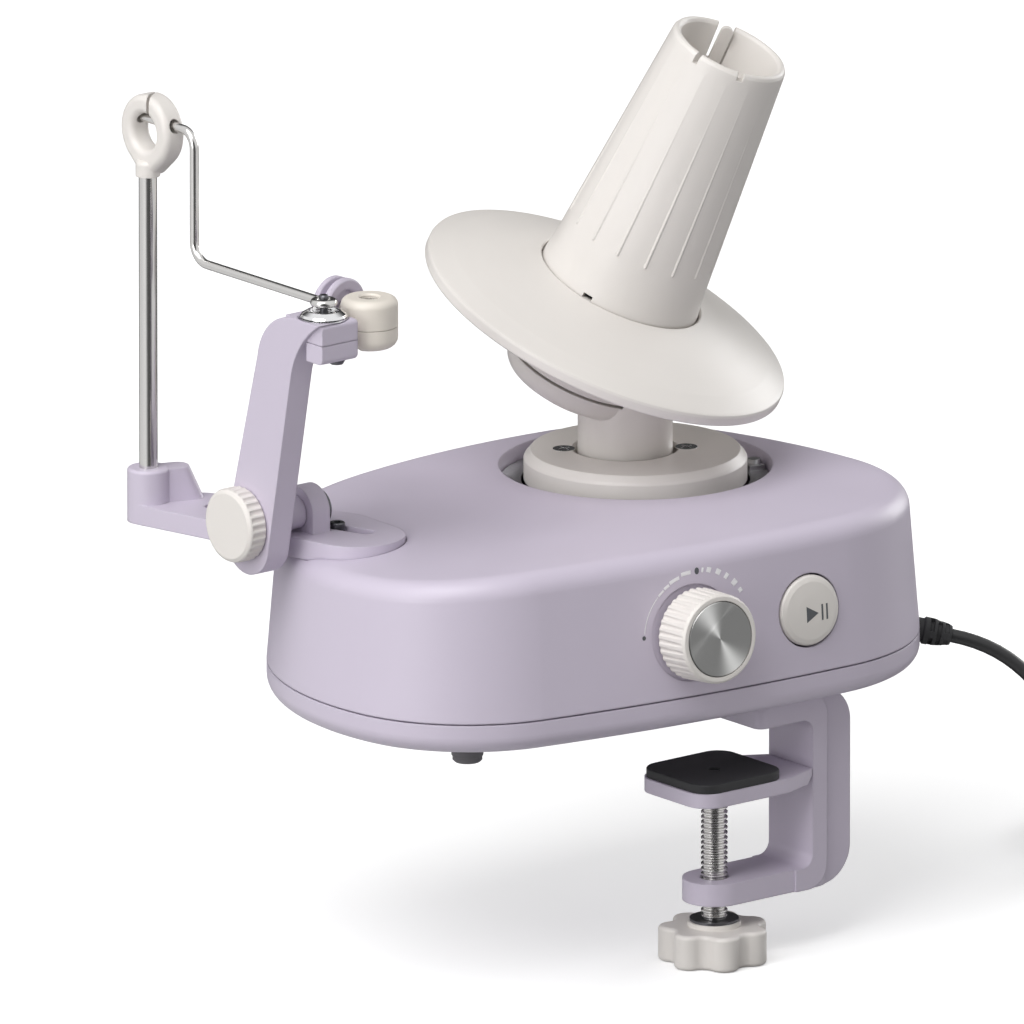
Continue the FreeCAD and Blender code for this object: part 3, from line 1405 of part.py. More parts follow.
def arc_towards(start, tangent, end):
    chord = end - start
    half_turn = tangent.getAngle(chord)
    middle = (start + end) * 0.5
    if half_turn < 1e-5:
        return Part.makeLine(start, end)
    bulge = tangent - chord * (tangent.dot(chord) / chord.Length ** 2)
    sag = chord.Length / 2 * math.tan(half_turn / 2)
    return Part.Arc(start, middle + bulge.normalize() * sag, end).toShape()


def biarc(p0, t0, p1, t1):
    """Two arcs that leave p0 along t0 and reach p1 along t1."""
    v = p1 - p0
    t = t0 + t1
    lower = 2 * (1 - t0.dot(t1))
    if lower < 1e-9:
        reach = v.dot(v) / (4 * v.dot(t0))
    else:
        reach = (math.sqrt(v.dot(t) ** 2 + lower * v.dot(v)) - v.dot(t)) / lower
    middle = (p0 + t0 * reach + p1 - t1 * reach) * 0.5
    first = arc_towards(p0, t0, middle)
    second = arc_towards(p1, t1 * -1, middle)
    return first, second


def coil_length_and_gap():
    """Least gap between turns and the coil's length, measured on points along its line."""
    steps = int(COIL_END * 48)
    points = [coil_place(COIL_END * i / steps)[0] for i in range(steps + 1)]
    length = sum((points[i + 1] - points[i]).Length for i in range(steps))
    least = 1e9
    for i in range(len(points)):
        for j in range(i + 24, len(points)):
            least = min(least, (points[j] - points[i]).Length)
    return length, least - 2 * CORD_R


def tail_end():
    """The coil's tail eases down until the plug can lie on the floor."""
    last, way = coil_place(COIL_END)
    drop = last.z - FLOOR_Z - PLUG_THICK / 2
    return last + way * COIL_TAIL - Vector(0, 0, drop), way


def cord_coil():
    turns = [i / 4 for i in range(int(4 * COIL_END) + 1)]
    edges = []
    for low, high in zip(turns, turns[1:]):
        p0, t0 = coil_place(low)
        p1, t1 = coil_place(high)
        edges.extend(biarc(p0, t0, p1, t1))
    last, way = coil_place(COIL_END)
    low, _ = tail_end()
    edges.extend(biarc(last, way, low, way))
    edges.append(Part.makeLine(low, low + way * (2 * CORD_R)))
    first, way = coil_place(0)
    path = Part.Wire(Part.__sortEdges__(edges))
    ring = Part.Wire(Part.makeCircle(CORD_R, first, way))
    body = path.makePipeShell([ring], True, False)
    length, gap = coil_length_and_gap()
    print("coil length", round(length, 1), "least gap", round(gap, 2))
    return body


def plug_frame():
    low, way = tail_end()
    return low + way * (2 * CORD_R), way


def mains_plug():
    """Generic flat two-pin plug; it lies on the coil's outer turn."""
    start, way = plug_frame()
    neck = Part.makeCone(CORD_R + 1.0, 5.0, 14, Vector(0, 0, 0), Vector(0, 0, 1))
    half = PLUG_THICK / 2
    body = block((-13, 13), (-half, half), (13, 37))
    body = body.makeFillet(3.5, [e for e in body.Edges if e.BoundBox.ZLength > 20])
    pins = [cylinder(2.0, 36, 56, x, 0) for x in (-9.3, 9.3)]
    whole = fused([neck, body] + pins)
    return placed(whole, start, way, way.cross(Vector(0, 0, 1)))


def cord_tie():
    """Strap round both layers of turns, on the side away from the plug."""
    start, way, right = coil_frame()
    reach = COIL_PITCH * LAYER_TURNS / 2
    place = start + right * (2 * COIL_MID_R + reach)
    inner = reach + CORD_R + 0.5
    outer = reach - COIL_PITCH / 2 + CORD_R + 0.4
    low = -CORD_R - 0.05
    high = CORD_R + COIL_PITCH + 0.2
    loop = block((-4, 4), (-outer - TIE_THICK, inner + TIE_THICK), (low - TIE_THICK, high + TIE_THICK))
    strap_shape = loop.cut(block((-5, 5), (-outer, inner), (low, high)))
    return placed(strap_shape, place, Vector(0, 0, 1), way)


PIECES = [
    upper_housing, base_cover, rubber_feet, base_screws, turntable_seat, seat_screws, centre_post,
    sun_gear, motor, motor_bracket, control_board, speed_potentiometer,
    strain_relief, clamp_frame, clamp_frame_screws, clamp_nut, bracket_screw, cord_run, cord_coil,
    cord_tie, mains_plug, turntable_cover, turntable_column, cover_screws, drive_gear,
    sleeve_bushes, spindle_carrier, yarn_disc, disc_hub, yarn_cone, cone_core,
    cone_shaft, spindle_gear, motor_pinion, speed_knob, knob_cap, speed_shaft, play_button,
    clamp_plate, clamp_pad, clamp_screw, star_knob, thrust_washer, guide_bracket, guide_post,
    eyelet_ring, hinge_bolt, hinge_nut, guide_arm, arm_head_cap, cap_screw, roller_base,
    tension_post, tension_disc_low, tension_disc_high, guide_axles, arm_knob, guide_wire,
    grooved_wheel, guide_roller,
]

os.makedirs("parts", exist_ok=True)
for make in PIECES:
    shape = make()
    shape.exportStep("parts/" + make.__name__ + ".step")
    if not shape.isValid() or shape.Volume <= 0:
        print("check", make.__name__, shape.isValid(), round(shape.Volume, 1))
print("nodes", len(PIECES))
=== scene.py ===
# %% [markdown]
# # An electric yarn ball winder
# The machine clamps to a table top. A tilted cone turns on a slowly turning
# table and winds the yarn that comes through the guide at the left.
# The CAD model is loaded first as a fixed frame: every piece that is made
# here has to sit where the CAD says, so nothing is fitted by eye.

# %% Load the frame
import json
import math

import bpy
from mathutils import Matrix, Vector


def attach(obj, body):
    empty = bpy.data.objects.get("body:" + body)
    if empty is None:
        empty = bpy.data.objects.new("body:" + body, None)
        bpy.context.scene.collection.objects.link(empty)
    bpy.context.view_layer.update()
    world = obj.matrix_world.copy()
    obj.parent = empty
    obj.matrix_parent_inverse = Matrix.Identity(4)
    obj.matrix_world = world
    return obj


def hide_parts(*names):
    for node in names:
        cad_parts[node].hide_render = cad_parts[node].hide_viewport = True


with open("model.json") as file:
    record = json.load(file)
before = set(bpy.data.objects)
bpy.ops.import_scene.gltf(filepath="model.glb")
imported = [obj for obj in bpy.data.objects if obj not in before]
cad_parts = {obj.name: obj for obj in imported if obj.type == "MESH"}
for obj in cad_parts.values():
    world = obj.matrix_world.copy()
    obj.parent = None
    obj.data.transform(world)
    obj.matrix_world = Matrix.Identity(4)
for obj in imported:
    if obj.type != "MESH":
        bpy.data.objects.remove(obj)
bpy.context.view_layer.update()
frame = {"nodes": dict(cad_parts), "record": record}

MM = 0.001

# %% [markdown]
# ## Camera
# The picture was taken from the front left and a little above, with a very
# long lens, so parallel edges stay parallel. A 1.5 m lens far away gives the
# same flat perspective. The camera is turned to face along one vector instead
# of by three angles, because a vector is easy to check.

# %% Camera
LENS = 1500.0
CAMERA_DISTANCE = 16.0
LOOK_AT = Vector((-0.0270, 0.1164, 0.0595))
CAMERA_TURN = math.radians(39.0)
CAMERA_RISE = math.radians(15.3)

view_way = Vector((
    math.sin(CAMERA_TURN) * math.cos(CAMERA_RISE),
    math.cos(CAMERA_TURN) * math.cos(CAMERA_RISE),
    -math.sin(CAMERA_RISE),
))
camera_data = bpy.data.cameras.new("camera")
camera_data.lens = LENS
camera_data.sensor_width = 36.0
camera_data.clip_start = 0.1
camera_data.clip_end = 100.0
camera = bpy.data.objects.new("camera", camera_data)
bpy.context.scene.collection.objects.link(camera)
camera.location = LOOK_AT - view_way * CAMERA_DISTANCE
camera.rotation_mode = "QUATERNION"
camera.rotation_quaternion = view_way.to_track_quat("-Z", "Y")
bpy.context.scene.camera = camera
print("camera at", tuple(round(c, 3) for c in camera.location))

# %% [markdown]
# ## Mains lead
# The lead is one smooth line of fixed length. It leaves its sleeve, sags to
# the floor, and the length that the picture doesn't show is wound in a round
# coil of two layers just outside the view. A NURBS curve with the route's
# listed points gives a soft line without kinks, and the coil's turns are
# more points of the same line.

# %% Route of the lead
LEAD_DIAMETER = 0.0053
LEAD_ROUTE = [
    (0.0865, -0.0047, 0.0178),
    (0.0964, -0.0121, 0.0152),
    (0.1113, -0.0218, 0.0023),
    (0.1270, -0.0242, -0.0196),
    (0.1404, -0.0186, -0.0458),
    (0.1520, -0.0032, -0.0688),
    (0.1606, 0.0193, -0.0832),
    (0.1704, 0.0404, -0.0859),
    (0.1825, 0.0563, -0.0859),
]
COIL_TURNS = 7.25
LAYER_TURNS = 3.5
COIL_MIDDLE = 0.0314
COIL_PITCH = 0.0058
LAYER_CHANGE = 0.5
POINTS_PER_TURN = 16
# Each row: how far on from the coil's end, and how much of the drop to the plug is done there
COIL_TAIL = ((0.008, 0.0), (0.018, 0.5), (0.028, 1.0))
PLUG_START = Vector((0.271765, 0.043410, -0.0835))
PLUG_WAY = Vector((0.808590, -0.588372, 0.0))

coil_start = Vector(LEAD_ROUTE[-1])
coil_way = (coil_start - Vector(LEAD_ROUTE[-2])).normalized()
coil_right = Vector((coil_way.y, -coil_way.x, 0.0))
coil_outer = COIL_MIDDLE + COIL_PITCH * LAYER_TURNS / 2
coil_centre = coil_start + coil_right * coil_outer


def coil_point(turns):
    """A point of the coil: the lower layer winds in and the upper one winds out."""
    radius = coil_outer - COIL_PITCH * min(turns, 2 * LAYER_TURNS - turns)
    climb = min(max((turns - LAYER_TURNS + LAYER_CHANGE / 2) / LAYER_CHANGE, 0.0), 1.0)
    rise = COIL_PITCH * climb * climb * (3 - 2 * climb)
    angle = 2 * math.pi * turns
    out = coil_way * math.sin(angle) - coil_right * math.cos(angle)
    return coil_centre + out * radius + Vector((0.0, 0.0, rise))


lead_points = [Vector(point) for point in LEAD_ROUTE]
for step in range(1, int(COIL_TURNS * POINTS_PER_TURN) + 1):
    lead_points.append(coil_point(step / POINTS_PER_TURN))
coil_end = coil_point(COIL_TURNS)
for along, drop in COIL_TAIL:
    place = coil_end.lerp(PLUG_START, along / (PLUG_START - coil_end).length)
    place.z = coil_end.z + (PLUG_START.z - coil_end.z) * drop
    lead_points.append(place)
lead_points.append(PLUG_START)
print("lead points", len(lead_points))

# %% Lead
# Blender keeps a curve's box as wide as its points' radius, so that radius is small
POINT_RADIUS = 0.002
lead_curve = bpy.data.curves.new("mains_lead", "CURVE")
lead_curve.dimensions = "3D"
lead_curve.bevel_depth = LEAD_DIAMETER / 2 / POINT_RADIUS
lead_curve.bevel_resolution = 4
lead_curve.resolution_u = 5
lead_curve.use_fill_caps = True
lead_spline = lead_curve.splines.new("NURBS")
lead_spline.points.add(len(lead_points) - 1)
for control, place in zip(lead_spline.points, lead_points):
    control.co = (*place, 1.0)
    control.radius = POINT_RADIUS
lead_spline.order_u = 3
lead_spline.use_endpoint_u = True
mains_lead = bpy.data.objects.new("mains_lead", lead_curve)
bpy.context.scene.collection.objects.link(mains_lead)
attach(mains_lead, "housing")
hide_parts("cord_run", "cord_coil")

# %% [markdown]
# ## Material helpers
# Every finish needs small irregularities: a mould leaves a faint grain, a
# drawn bar has streaks, a corner is never sharp. Each of these effects is a
# node group that is built once and placed in many materials. A group only
# puts out colours, masks, values and normals, and the shader itself stays in
# the material with its constants on its own sockets.


# %% Node group builder
def new_group(name, inputs, outputs):
    """A shader node group with named sockets, its tree, its inputs and outputs."""
    tree = bpy.data.node_groups.new(name, "ShaderNodeTree")
    for label, kind, value in inputs:
        socket = tree.interface.new_socket(name=label, in_out="INPUT", socket_type=kind)
        socket.default_value = value
    for label, kind in outputs:
        tree.interface.new_socket(name=label, in_out="OUTPUT", socket_type=kind)
    source = tree.nodes.new("NodeGroupInput")
    result = tree.nodes.new("NodeGroupOutput")
    return tree, source, result


def add_node(tree, kind, links=(), **settings):
    """A node with settings on it and sources linked or values set on its inputs."""
    node = tree.nodes.new(kind)
    for key, value in settings.items():
        setattr(node, key, value)
    for socket, value in links:
        if isinstance(value, bpy.types.NodeSocket):
            tree.links.new(value, node.inputs[socket])
        else:
            node.inputs[socket].default_value = value
    return node


def maths(tree, operation, first, second=0.0, third=None):
    """The output of one Math node."""
    links = [(0, first), (1, second)]
    if third is not None:
        links.append((2, third))
    return add_node(tree, "ShaderNodeMath", links, operation=operation).outputs[0]


def map_range(tree, value, start, end, low=0.0, high=1.0, **settings):
    """The output of one Map Range node: start gives low and end gives high."""
    links = [
        ("Value", value), ("From Min", start), ("From Max", end),
        ("To Min", low), ("To Max", high),
    ]
    return add_node(tree, "ShaderNodeMapRange", links, **settings).outputs["Result"]


def place_of(tree):
    """The place that is shaded, in the frame all pieces share."""
    return add_node(tree, "ShaderNodeTexCoord").outputs["Object"]


def from_point(tree, point):
    """The vector from a fixed point to the place that is shaded."""
    links = [(0, place_of(tree)), (1, tuple(point))]
    return add_node(tree, "ShaderNodeVectorMath", links, operation="SUBTRACT").outputs[0]


def dot_with(tree, vector, fixed):
    """The length of a vector along a fixed direction."""
    links = [(0, vector), (1, tuple(fixed))]
    return add_node(tree, "ShaderNodeVectorMath", links, operation="DOT_PRODUCT").outputs["Value"]


# %% [markdown]
# ### Moulded grain
# Injection moulded plastic is nearly even. Close up it has a fine satin
# texture from the steel mould, and its gloss changes a little from place to
# place. Fine noise makes the texture, and coarse noise shifts gloss and tone.
# Nearly all of a noise lies in one middle span, so gloss is spread over that.

# %% Moulded grain
NOISE_SPAN = (0.3, 0.7)
COARSE_SCALE = 28.0
COARSE_SHARE = 0.7


def make_moulded_grain():
    tree, source, result = new_group(
        "moulded_grain",
        [
            ("Colour", "NodeSocketColor", (0.8, 0.8, 0.8, 1.0)),
            ("Tone Shift", "NodeSocketFloat", 0.03),
            ("Grain Scale", "NodeSocketFloat", 2200.0),
            ("Gloss Low", "NodeSocketFloat", 0.35),
            ("Gloss High", "NodeSocketFloat", 0.45),
        ],
        [
            ("Colour", "NodeSocketColor"),
            ("Roughness", "NodeSocketFloat"),
            ("Height", "NodeSocketFloat"),
        ],
    )
    place = place_of(tree)
    coarse = add_node(
        tree, "ShaderNodeTexNoise",
        [("Vector", place), ("Scale", COARSE_SCALE), ("Detail", 3.0)],
    ).outputs["Fac"]
    fine = add_node(
        tree, "ShaderNodeTexNoise",
        [("Vector", place), ("Scale", source.outputs["Grain Scale"]), ("Detail", 2.0)],
    ).outputs["Fac"]
    centred = maths(tree, "SUBTRACT", coarse, 0.5)
    shift = maths(tree, "MULTIPLY", centred, source.outputs["Tone Shift"])
    value = maths(tree, "ADD", shift, 1.0)
    tone = add_node(
        tree, "ShaderNodeHueSaturation",
        [("Value", value), ("Color", source.outputs["Colour"])],
    ).outputs["Color"]
    coarse_part = maths(tree, "MULTIPLY", coarse, COARSE_SHARE)
    fine_part = maths(tree, "MULTIPLY", fine, 1.0 - COARSE_SHARE)
    gloss = map_range(
        tree, maths(tree, "ADD", coarse_part, fine_part), *NOISE_SPAN,
        source.outputs["Gloss Low"], source.outputs["Gloss High"],
    )
    tree.links.new(tone, result.inputs["Colour"])
    tree.links.new(gloss, result.inputs["Roughness"])
    tree.links.new(fine, result.inputs["Height"])
    return tree


moulded_grain = make_moulded_grain()

# %% [markdown]
# ### Drawn streaks
# Bright steel bar keeps fine lines from the die or the lathe. Noise that is
# stretched along one axis gives them.

# %% Drawn streaks
def make_streaks():
    tree, source, result = new_group(
        "streaks",
        [
            ("Stretch", "NodeSocketVector", (3000.0, 3000.0, 120.0)),
            ("Gloss Low", "NodeSocketFloat", 0.18),
            ("Gloss High", "NodeSocketFloat", 0.36),
        ],
        [("Roughness", "NodeSocketFloat"), ("Height", "NodeSocketFloat")],
    )
    scaled = add_node(
        tree, "ShaderNodeVectorMath",
        [(0, place_of(tree)), (1, source.outputs["Stretch"])], operation="MULTIPLY",
    ).outputs[0]
    lines = add_node(
        tree, "ShaderNodeTexNoise", [("Vector", scaled), ("Scale", 1.0), ("Detail", 3.0)],
    ).outputs["Fac"]
    gloss = map_range(
        tree, lines, *NOISE_SPAN, source.outputs["Gloss Low"], source.outputs["Gloss High"],
    )
    tree.links.new(gloss, result.inputs["Roughness"])
    tree.links.new(lines, result.inputs["Height"])
    return tree


streaks = make_streaks()

# %% [markdown]
# ### Soft edges
# The Bevel node bends the normal near an edge, so a sharp CAD edge catches
# the light as a real one does. Where the bent normal leaves the true one the
# group also puts out a mask, and the finishes use it to lighten the edges'
# colour, as rubbed wear and as a painted highlight.

# %% Soft edges
# How alike the two normals are where an edge starts to show and where it is at its full
EDGE_START = 0.995
EDGE_FULL = 0.85


def make_soft_edge():
    tree, source, result = new_group(
        "soft_edge",
        [("Radius", "NodeSocketFloat", 0.0004)],
        [("Normal", "NodeSocketVector"), ("Edge", "NodeSocketFloat")],
    )
    bevel = add_node(
        tree, "ShaderNodeBevel", [("Radius", source.outputs["Radius"])], samples=4,
    ).outputs["Normal"]
    true_normal = add_node(tree, "ShaderNodeNewGeometry").outputs["Normal"]
    same = add_node(
        tree, "ShaderNodeVectorMath", [(0, bevel), (1, true_normal)], operation="DOT_PRODUCT",
    ).outputs["Value"]
    edge = map_range(tree, same, EDGE_START, EDGE_FULL)
    tree.links.new(bevel, result.inputs["Normal"])
    tree.links.new(edge, result.inputs["Edge"])
    return tree


soft_edge = make_soft_edge()

# %% [markdown]
# ### Finishes
# A finish is a material with one Principled shader. Plastic and rubber use
# the moulded grain, and metal uses the streaks. Both take their normals
# through a Bump node that starts from the soft edge.

# %% Finish helpers
# How much lighter edges are painted: partly rubbed wear, partly a painted highlight
PLASTIC_EDGE_WEAR_AND_HIGHLIGHT = 1.06
METAL_EDGE_WEAR_AND_HIGHLIGHT = 1.25
METAL_EDGE = 0.0002
PLASTIC_GRAIN_DEPTH = 0.00002
METAL_STREAK_DEPTH = 0.00001


def new_material(name, metallic=0.0):
    """A material, its tree and its shader, with the constant on the shader."""
    material = bpy.data.materials.new(name)
    material.use_nodes = True
    tree = material.node_tree
    shader = tree.nodes["Principled BSDF"]
    shader.inputs["Metallic"].default_value = metallic
    return material, tree, shader


def add_group(tree, group, **values):
    """A group node in a material, with values on its inputs."""
    node = tree.nodes.new("ShaderNodeGroup")
    node.node_tree = group
    for key, value in values.items():
        node.inputs[key.replace("_", " ")].default_value = value
    return node


def add_bump(tree, shader, height, normal, depth):
    """A Bump node between a height, a normal and the shader."""
    bump = tree.nodes.new("ShaderNodeBump")
    bump.inputs["Strength"].default_value = 1.0
    bump.inputs["Distance"].default_value = depth
    tree.links.new(height, bump.inputs["Height"])
    if normal is not None:
        tree.links.new(normal, bump.inputs["Normal"])
    tree.links.new(bump.outputs["Normal"], shader.inputs["Normal"])


# Painted highlight and wear: edges are lightened in the colour itself, for rubbed wear and for
# light caught on the edge
def edge_wear_and_highlight(tree, colour, edge, tint, amount):
    """A colour that goes to a tint where the edge mask is white."""
    mix = tree.nodes.new("ShaderNodeMix")
    mix.data_type = "RGBA"
    tree.links.new(maths(tree, "MULTIPLY", edge, amount), mix.inputs["Factor"])
    tree.links.new(colour, mix.inputs["A"])
    mix.inputs["B"].default_value = tint
    return mix.outputs["Result"]


def moulded(
    name, colour, gloss, depth=PLASTIC_GRAIN_DEPTH, grain=2200.0, tone=0.03, edge=0.0004,
):
    """Moulded plastic or rubber."""
    material, tree, shader = new_material(name)
    skin = add_group(
        tree, moulded_grain, Colour=(*colour, 1.0), Tone_Shift=tone, Grain_Scale=grain,
        Gloss_Low=gloss[0], Gloss_High=gloss[1],
    )
    corner = add_group(tree, soft_edge, Radius=edge)
    # Edges painted lighter: rubbed wear and a painted highlight
    worn_and_lit = tuple(min(1.0, c * PLASTIC_EDGE_WEAR_AND_HIGHLIGHT) for c in colour)
    tinted = edge_wear_and_highlight(tree, skin.outputs["Colour"], corner.outputs["Edge"], (*worn_and_lit, 1.0), 0.6)
    tree.links.new(tinted, shader.inputs["Base Color"])
    tree.links.new(skin.outputs["Roughness"], shader.inputs["Roughness"])
    add_bump(tree, shader, skin.outputs["Height"], corner.outputs["Normal"], depth)
    return material


def metal(name, colour, gloss, stretch=(3000.0, 3000.0, 120.0)):
    """Metal with drawn or turned streaks."""
    material, tree, shader = new_material(name, metallic=1.0)
    lines = add_group(tree, streaks, Stretch=stretch, Gloss_Low=gloss[0], Gloss_High=gloss[1])
    corner = add_group(tree, soft_edge, Radius=METAL_EDGE)
    base = tree.nodes.new("ShaderNodeRGB")
    base.outputs[0].default_value = (*colour, 1.0)
    # Edges painted lighter: rubbed wear and a painted highlight
    worn_and_lit = tuple(min(1.0, c * METAL_EDGE_WEAR_AND_HIGHLIGHT) for c in colour)
    tinted = edge_wear_and_highlight(tree, base.outputs[0], corner.outputs["Edge"], (*worn_and_lit, 1.0), 0.5)
    tree.links.new(tinted, shader.inputs["Base Color"])
    tree.links.new(lines.outputs["Roughness"], shader.inputs["Roughness"])
    add_bump(tree, shader, lines.outputs["Height"], corner.outputs["Normal"], METAL_STREAK_DEPTH)
    return material


# %% Finishes by name
LAVENDER = (0.60, 0.545, 0.65)
WARM_WHITE = (0.78, 0.745, 0.71)
CREAM = (0.80, 0.745, 0.67)
RUBBER_BLACK = (0.022, 0.022, 0.024)
LEAD_BLACK = (0.017, 0.017, 0.018)
FOOT_GREY = (0.15, 0.145, 0.155)
PIN_METAL = (0.62, 0.61, 0.59)
finishes = {
    "lavender": moulded("lavender_plastic", LAVENDER, (0.36, 0.46), edge=0.0009),
    "warm_white": moulded("warm_white_plastic", WARM_WHITE, (0.34, 0.42), edge=0.0006),
    "cream": moulded("cream_plastic", CREAM, (0.42, 0.52)),
    "rubber": moulded("black_rubber", RUBBER_BLACK, (0.60, 0.75), depth=0.00005, grain=1600.0),
    "cord_black": moulded("black_pvc", LEAD_BLACK, (0.38, 0.50), grain=1800.0),
    "steel": metal("drawn_steel", (0.62, 0.61, 0.60), (0.10, 0.20)),
    "dark_steel": metal("blackened_steel", (0.12, 0.12, 0.13), (0.30, 0.42)),
    "chrome": metal("polished_steel", (0.78, 0.78, 0.79), (0.06, 0.14)),
    "zinc": metal("zinc_plate", (0.45, 0.45, 0.46), (0.28, 0.44), (900.0,) * 3),
    "nylon": moulded("natural_nylon", (0.82, 0.80, 0.74), (0.40, 0.50)),
    "bronze": metal("sintered_bronze", (0.60, 0.40, 0.17), (0.35, 0.50), (1500.0,) * 3),
    "board": moulded("circuit_board", (0.04, 0.20, 0.09), (0.25, 0.35), tone=0.2),
}

# %% [markdown]
# ### Turned cap
# The dial's cap is faced on a lathe, which leaves fine rings about its
# middle. Light from each side is spread across the rings, so bright wedges
# meet in the middle. Rings of bump, a strong anisotropy, a faint tone in the
# rings and bright wedges painted into the colour as a painted highlight give
# that. All of them are measured from the dial's own axis.

# %% Turned cap
dial_joint = next(
    row for row in frame["record"]["behaviour"]["joints"] if row["name"] == "speed_dial_turn"
)
DIAL_CENTRE = Vector(dial_joint["pos_m"])
WALL_NORMAL = -Vector(dial_joint["axis"]).normalized()
WALL_RIGHT = (Vector((1.0, 0.0, 0.0)) - WALL_NORMAL * WALL_NORMAL.x).normalized()
WALL_UP = WALL_NORMAL.cross(WALL_RIGHT)
RINGS_PER_METRE = 9000.0
# Painted highlight: the cap's bright wedges are painted into its colour; these set their turn,
# sharpness and share of the tone
HIGHLIGHT_WEDGE_TURN = math.radians(62.0)
HIGHLIGHT_WEDGE_SHARPNESS = 7.0
TONE_LOW = 0.16
TONE_OF_RINGS = 0.20
TONE_OF_PAINTED_HIGHLIGHT = 0.55
BLUE_SHARE = 0.985


def turned_cap():
    material, tree, shader = new_material("turned_cap_metal", metallic=1.0)
    shader.inputs["Anisotropic"].default_value = 0.9
    arm = from_point(tree, DIAL_CENTRE)
    across = dot_with(tree, arm, WALL_RIGHT)
    upwards = dot_with(tree, arm, WALL_UP)
    angle = maths(tree, "ARCTAN2", upwards, across)
    across_squared = maths(tree, "MULTIPLY", across, across)
    upwards_squared = maths(tree, "MULTIPLY", upwards, upwards)
    radius = maths(tree, "SQRT", maths(tree, "ADD", across_squared, upwards_squared))
    rings = add_node(
        tree, "ShaderNodeTexNoise",
        [("W", maths(tree, "MULTIPLY", radius, RINGS_PER_METRE)), ("Scale", 1.0), ("Detail", 2.0)],
        noise_dimensions="1D",
    ).outputs["Fac"]
    # Painted highlight: bright wedges on two sides of the middle, painted into the base colour on
    # top of the rings' tone
    turned = maths(tree, "ADD", angle, HIGHLIGHT_WEDGE_TURN)
    highlight_wave = maths(tree, "COSINE", maths(tree, "MULTIPLY", turned, 2.0))
    half_wave = maths(tree, "MULTIPLY", maths(tree, "ADD", highlight_wave, 1.0), 0.5)
    painted_highlight = maths(tree, "POWER", half_wave, HIGHLIGHT_WEDGE_SHARPNESS)
    ring_tone = maths(tree, "ADD", maths(tree, "MULTIPLY", rings, TONE_OF_RINGS), TONE_LOW)
    tone = maths(tree, "ADD", maths(tree, "MULTIPLY", painted_highlight, TONE_OF_PAINTED_HIGHLIGHT), ring_tone)
    blue = maths(tree, "MULTIPLY", tone, BLUE_SHARE)
    colour = add_node(
        tree, "ShaderNodeCombineColor", [("Red", tone), ("Green", tone), ("Blue", blue)],
    ).outputs["Color"]
    tree.links.new(colour, shader.inputs["Base Color"])
    gloss = map_range(tree, rings, *NOISE_SPAN, 0.28, 0.42)
    tree.links.new(gloss, shader.inputs["Roughness"])
    add_bump(tree, shader, rings, None, METAL_STREAK_DEPTH)
    return material


finishes["cap_metal"] = turned_cap()
print("finishes", len(finishes), "dial axis", tuple(round(c, 4) for c in WALL_NORMAL))

# %% [markdown]
# ### Plug
# The plug is one moulded body with two metal pins. The finish changes from
# black plastic to bright metal at the depth where the pins come out.

# %% Plug
PINS_FROM = 0.037


def plug_finish():
    material, tree, shader = new_material("plug_body_and_pins")
    depth = dot_with(tree, from_point(tree, PLUG_START), PLUG_WAY)
    pins = maths(tree, "GREATER_THAN", depth, PINS_FROM)
    skin = add_group(
        tree, moulded_grain, Colour=(*LEAD_BLACK, 1.0), Gloss_Low=0.42, Gloss_High=0.52,
    )
    mix = tree.nodes.new("ShaderNodeMix")
    mix.data_type = "RGBA"
    tree.links.new(pins, mix.inputs["Factor"])
    tree.links.new(skin.outputs["Colour"], mix.inputs["A"])
    mix.inputs["B"].default_value = (*PIN_METAL, 1.0)
    tree.links.new(mix.outputs["Result"], shader.inputs["Base Color"])
    tree.links.new(pins, shader.inputs["Metallic"])
    tree.links.new(skin.outputs["Roughness"], shader.inputs["Roughness"])
    corner = add_group(tree, soft_edge, Radius=0.0005)
    add_bump(tree, shader, skin.outputs["Height"], corner.outputs["Normal"], PLASTIC_GRAIN_DEPTH)
    return material


# %% Finishes on the CAD nodes
slot_of = {row["node"]: row["material_slot"] for row in frame["record"]["subparts"]}
for node_name, node in frame["nodes"].items():
    node.data.materials.clear()
    node.data.materials.append(finishes[slot_of[node_name]])
frame["nodes"]["mains_plug"].data.materials[0] = plug_finish()
foot_rubber = moulded("foot_rubber", FOOT_GREY, (0.60, 0.72))
frame["nodes"]["rubber_feet"].data.materials[0] = foot_rubber
for node_name in ("thrust_washer", "hinge_nut"):
    frame["nodes"][node_name].data.materials[0] = finishes["dark_steel"]
frame["nodes"]["cover_screws"].data.materials[0] = finishes["chrome"]
lead_curve.materials.append(finishes["cord_black"])
print("CAD nodes with a finish", len(slot_of))

# %% [markdown]
# ## Printed marks
# The dial has a plain scale printed on the wall round it: a dot, a thin line
# that grows into dashes, an oval at the top and blocks beyond it. A print is a
# thin film, so each mark starts as a flat plane, is cut finer, is laid round
# the dial, and is pulled down on the real wall by Shrinkwrap. Solidify gives
# it the film's thickness.

# %% Print finishes and helper
print_white = moulded("print_white", (0.93, 0.92, 0.95), (0.45, 0.55), tone=0.05)
print_grey = moulded("print_grey", (0.085, 0.09, 0.10), (0.45, 0.55), tone=0.05)
FILM = 0.00005
# A little over half a film, so that its inner side stays clear of the surface
FILM_RISE = 0.6
# A mark starts this far off the wall
START_LIFT = 0.001


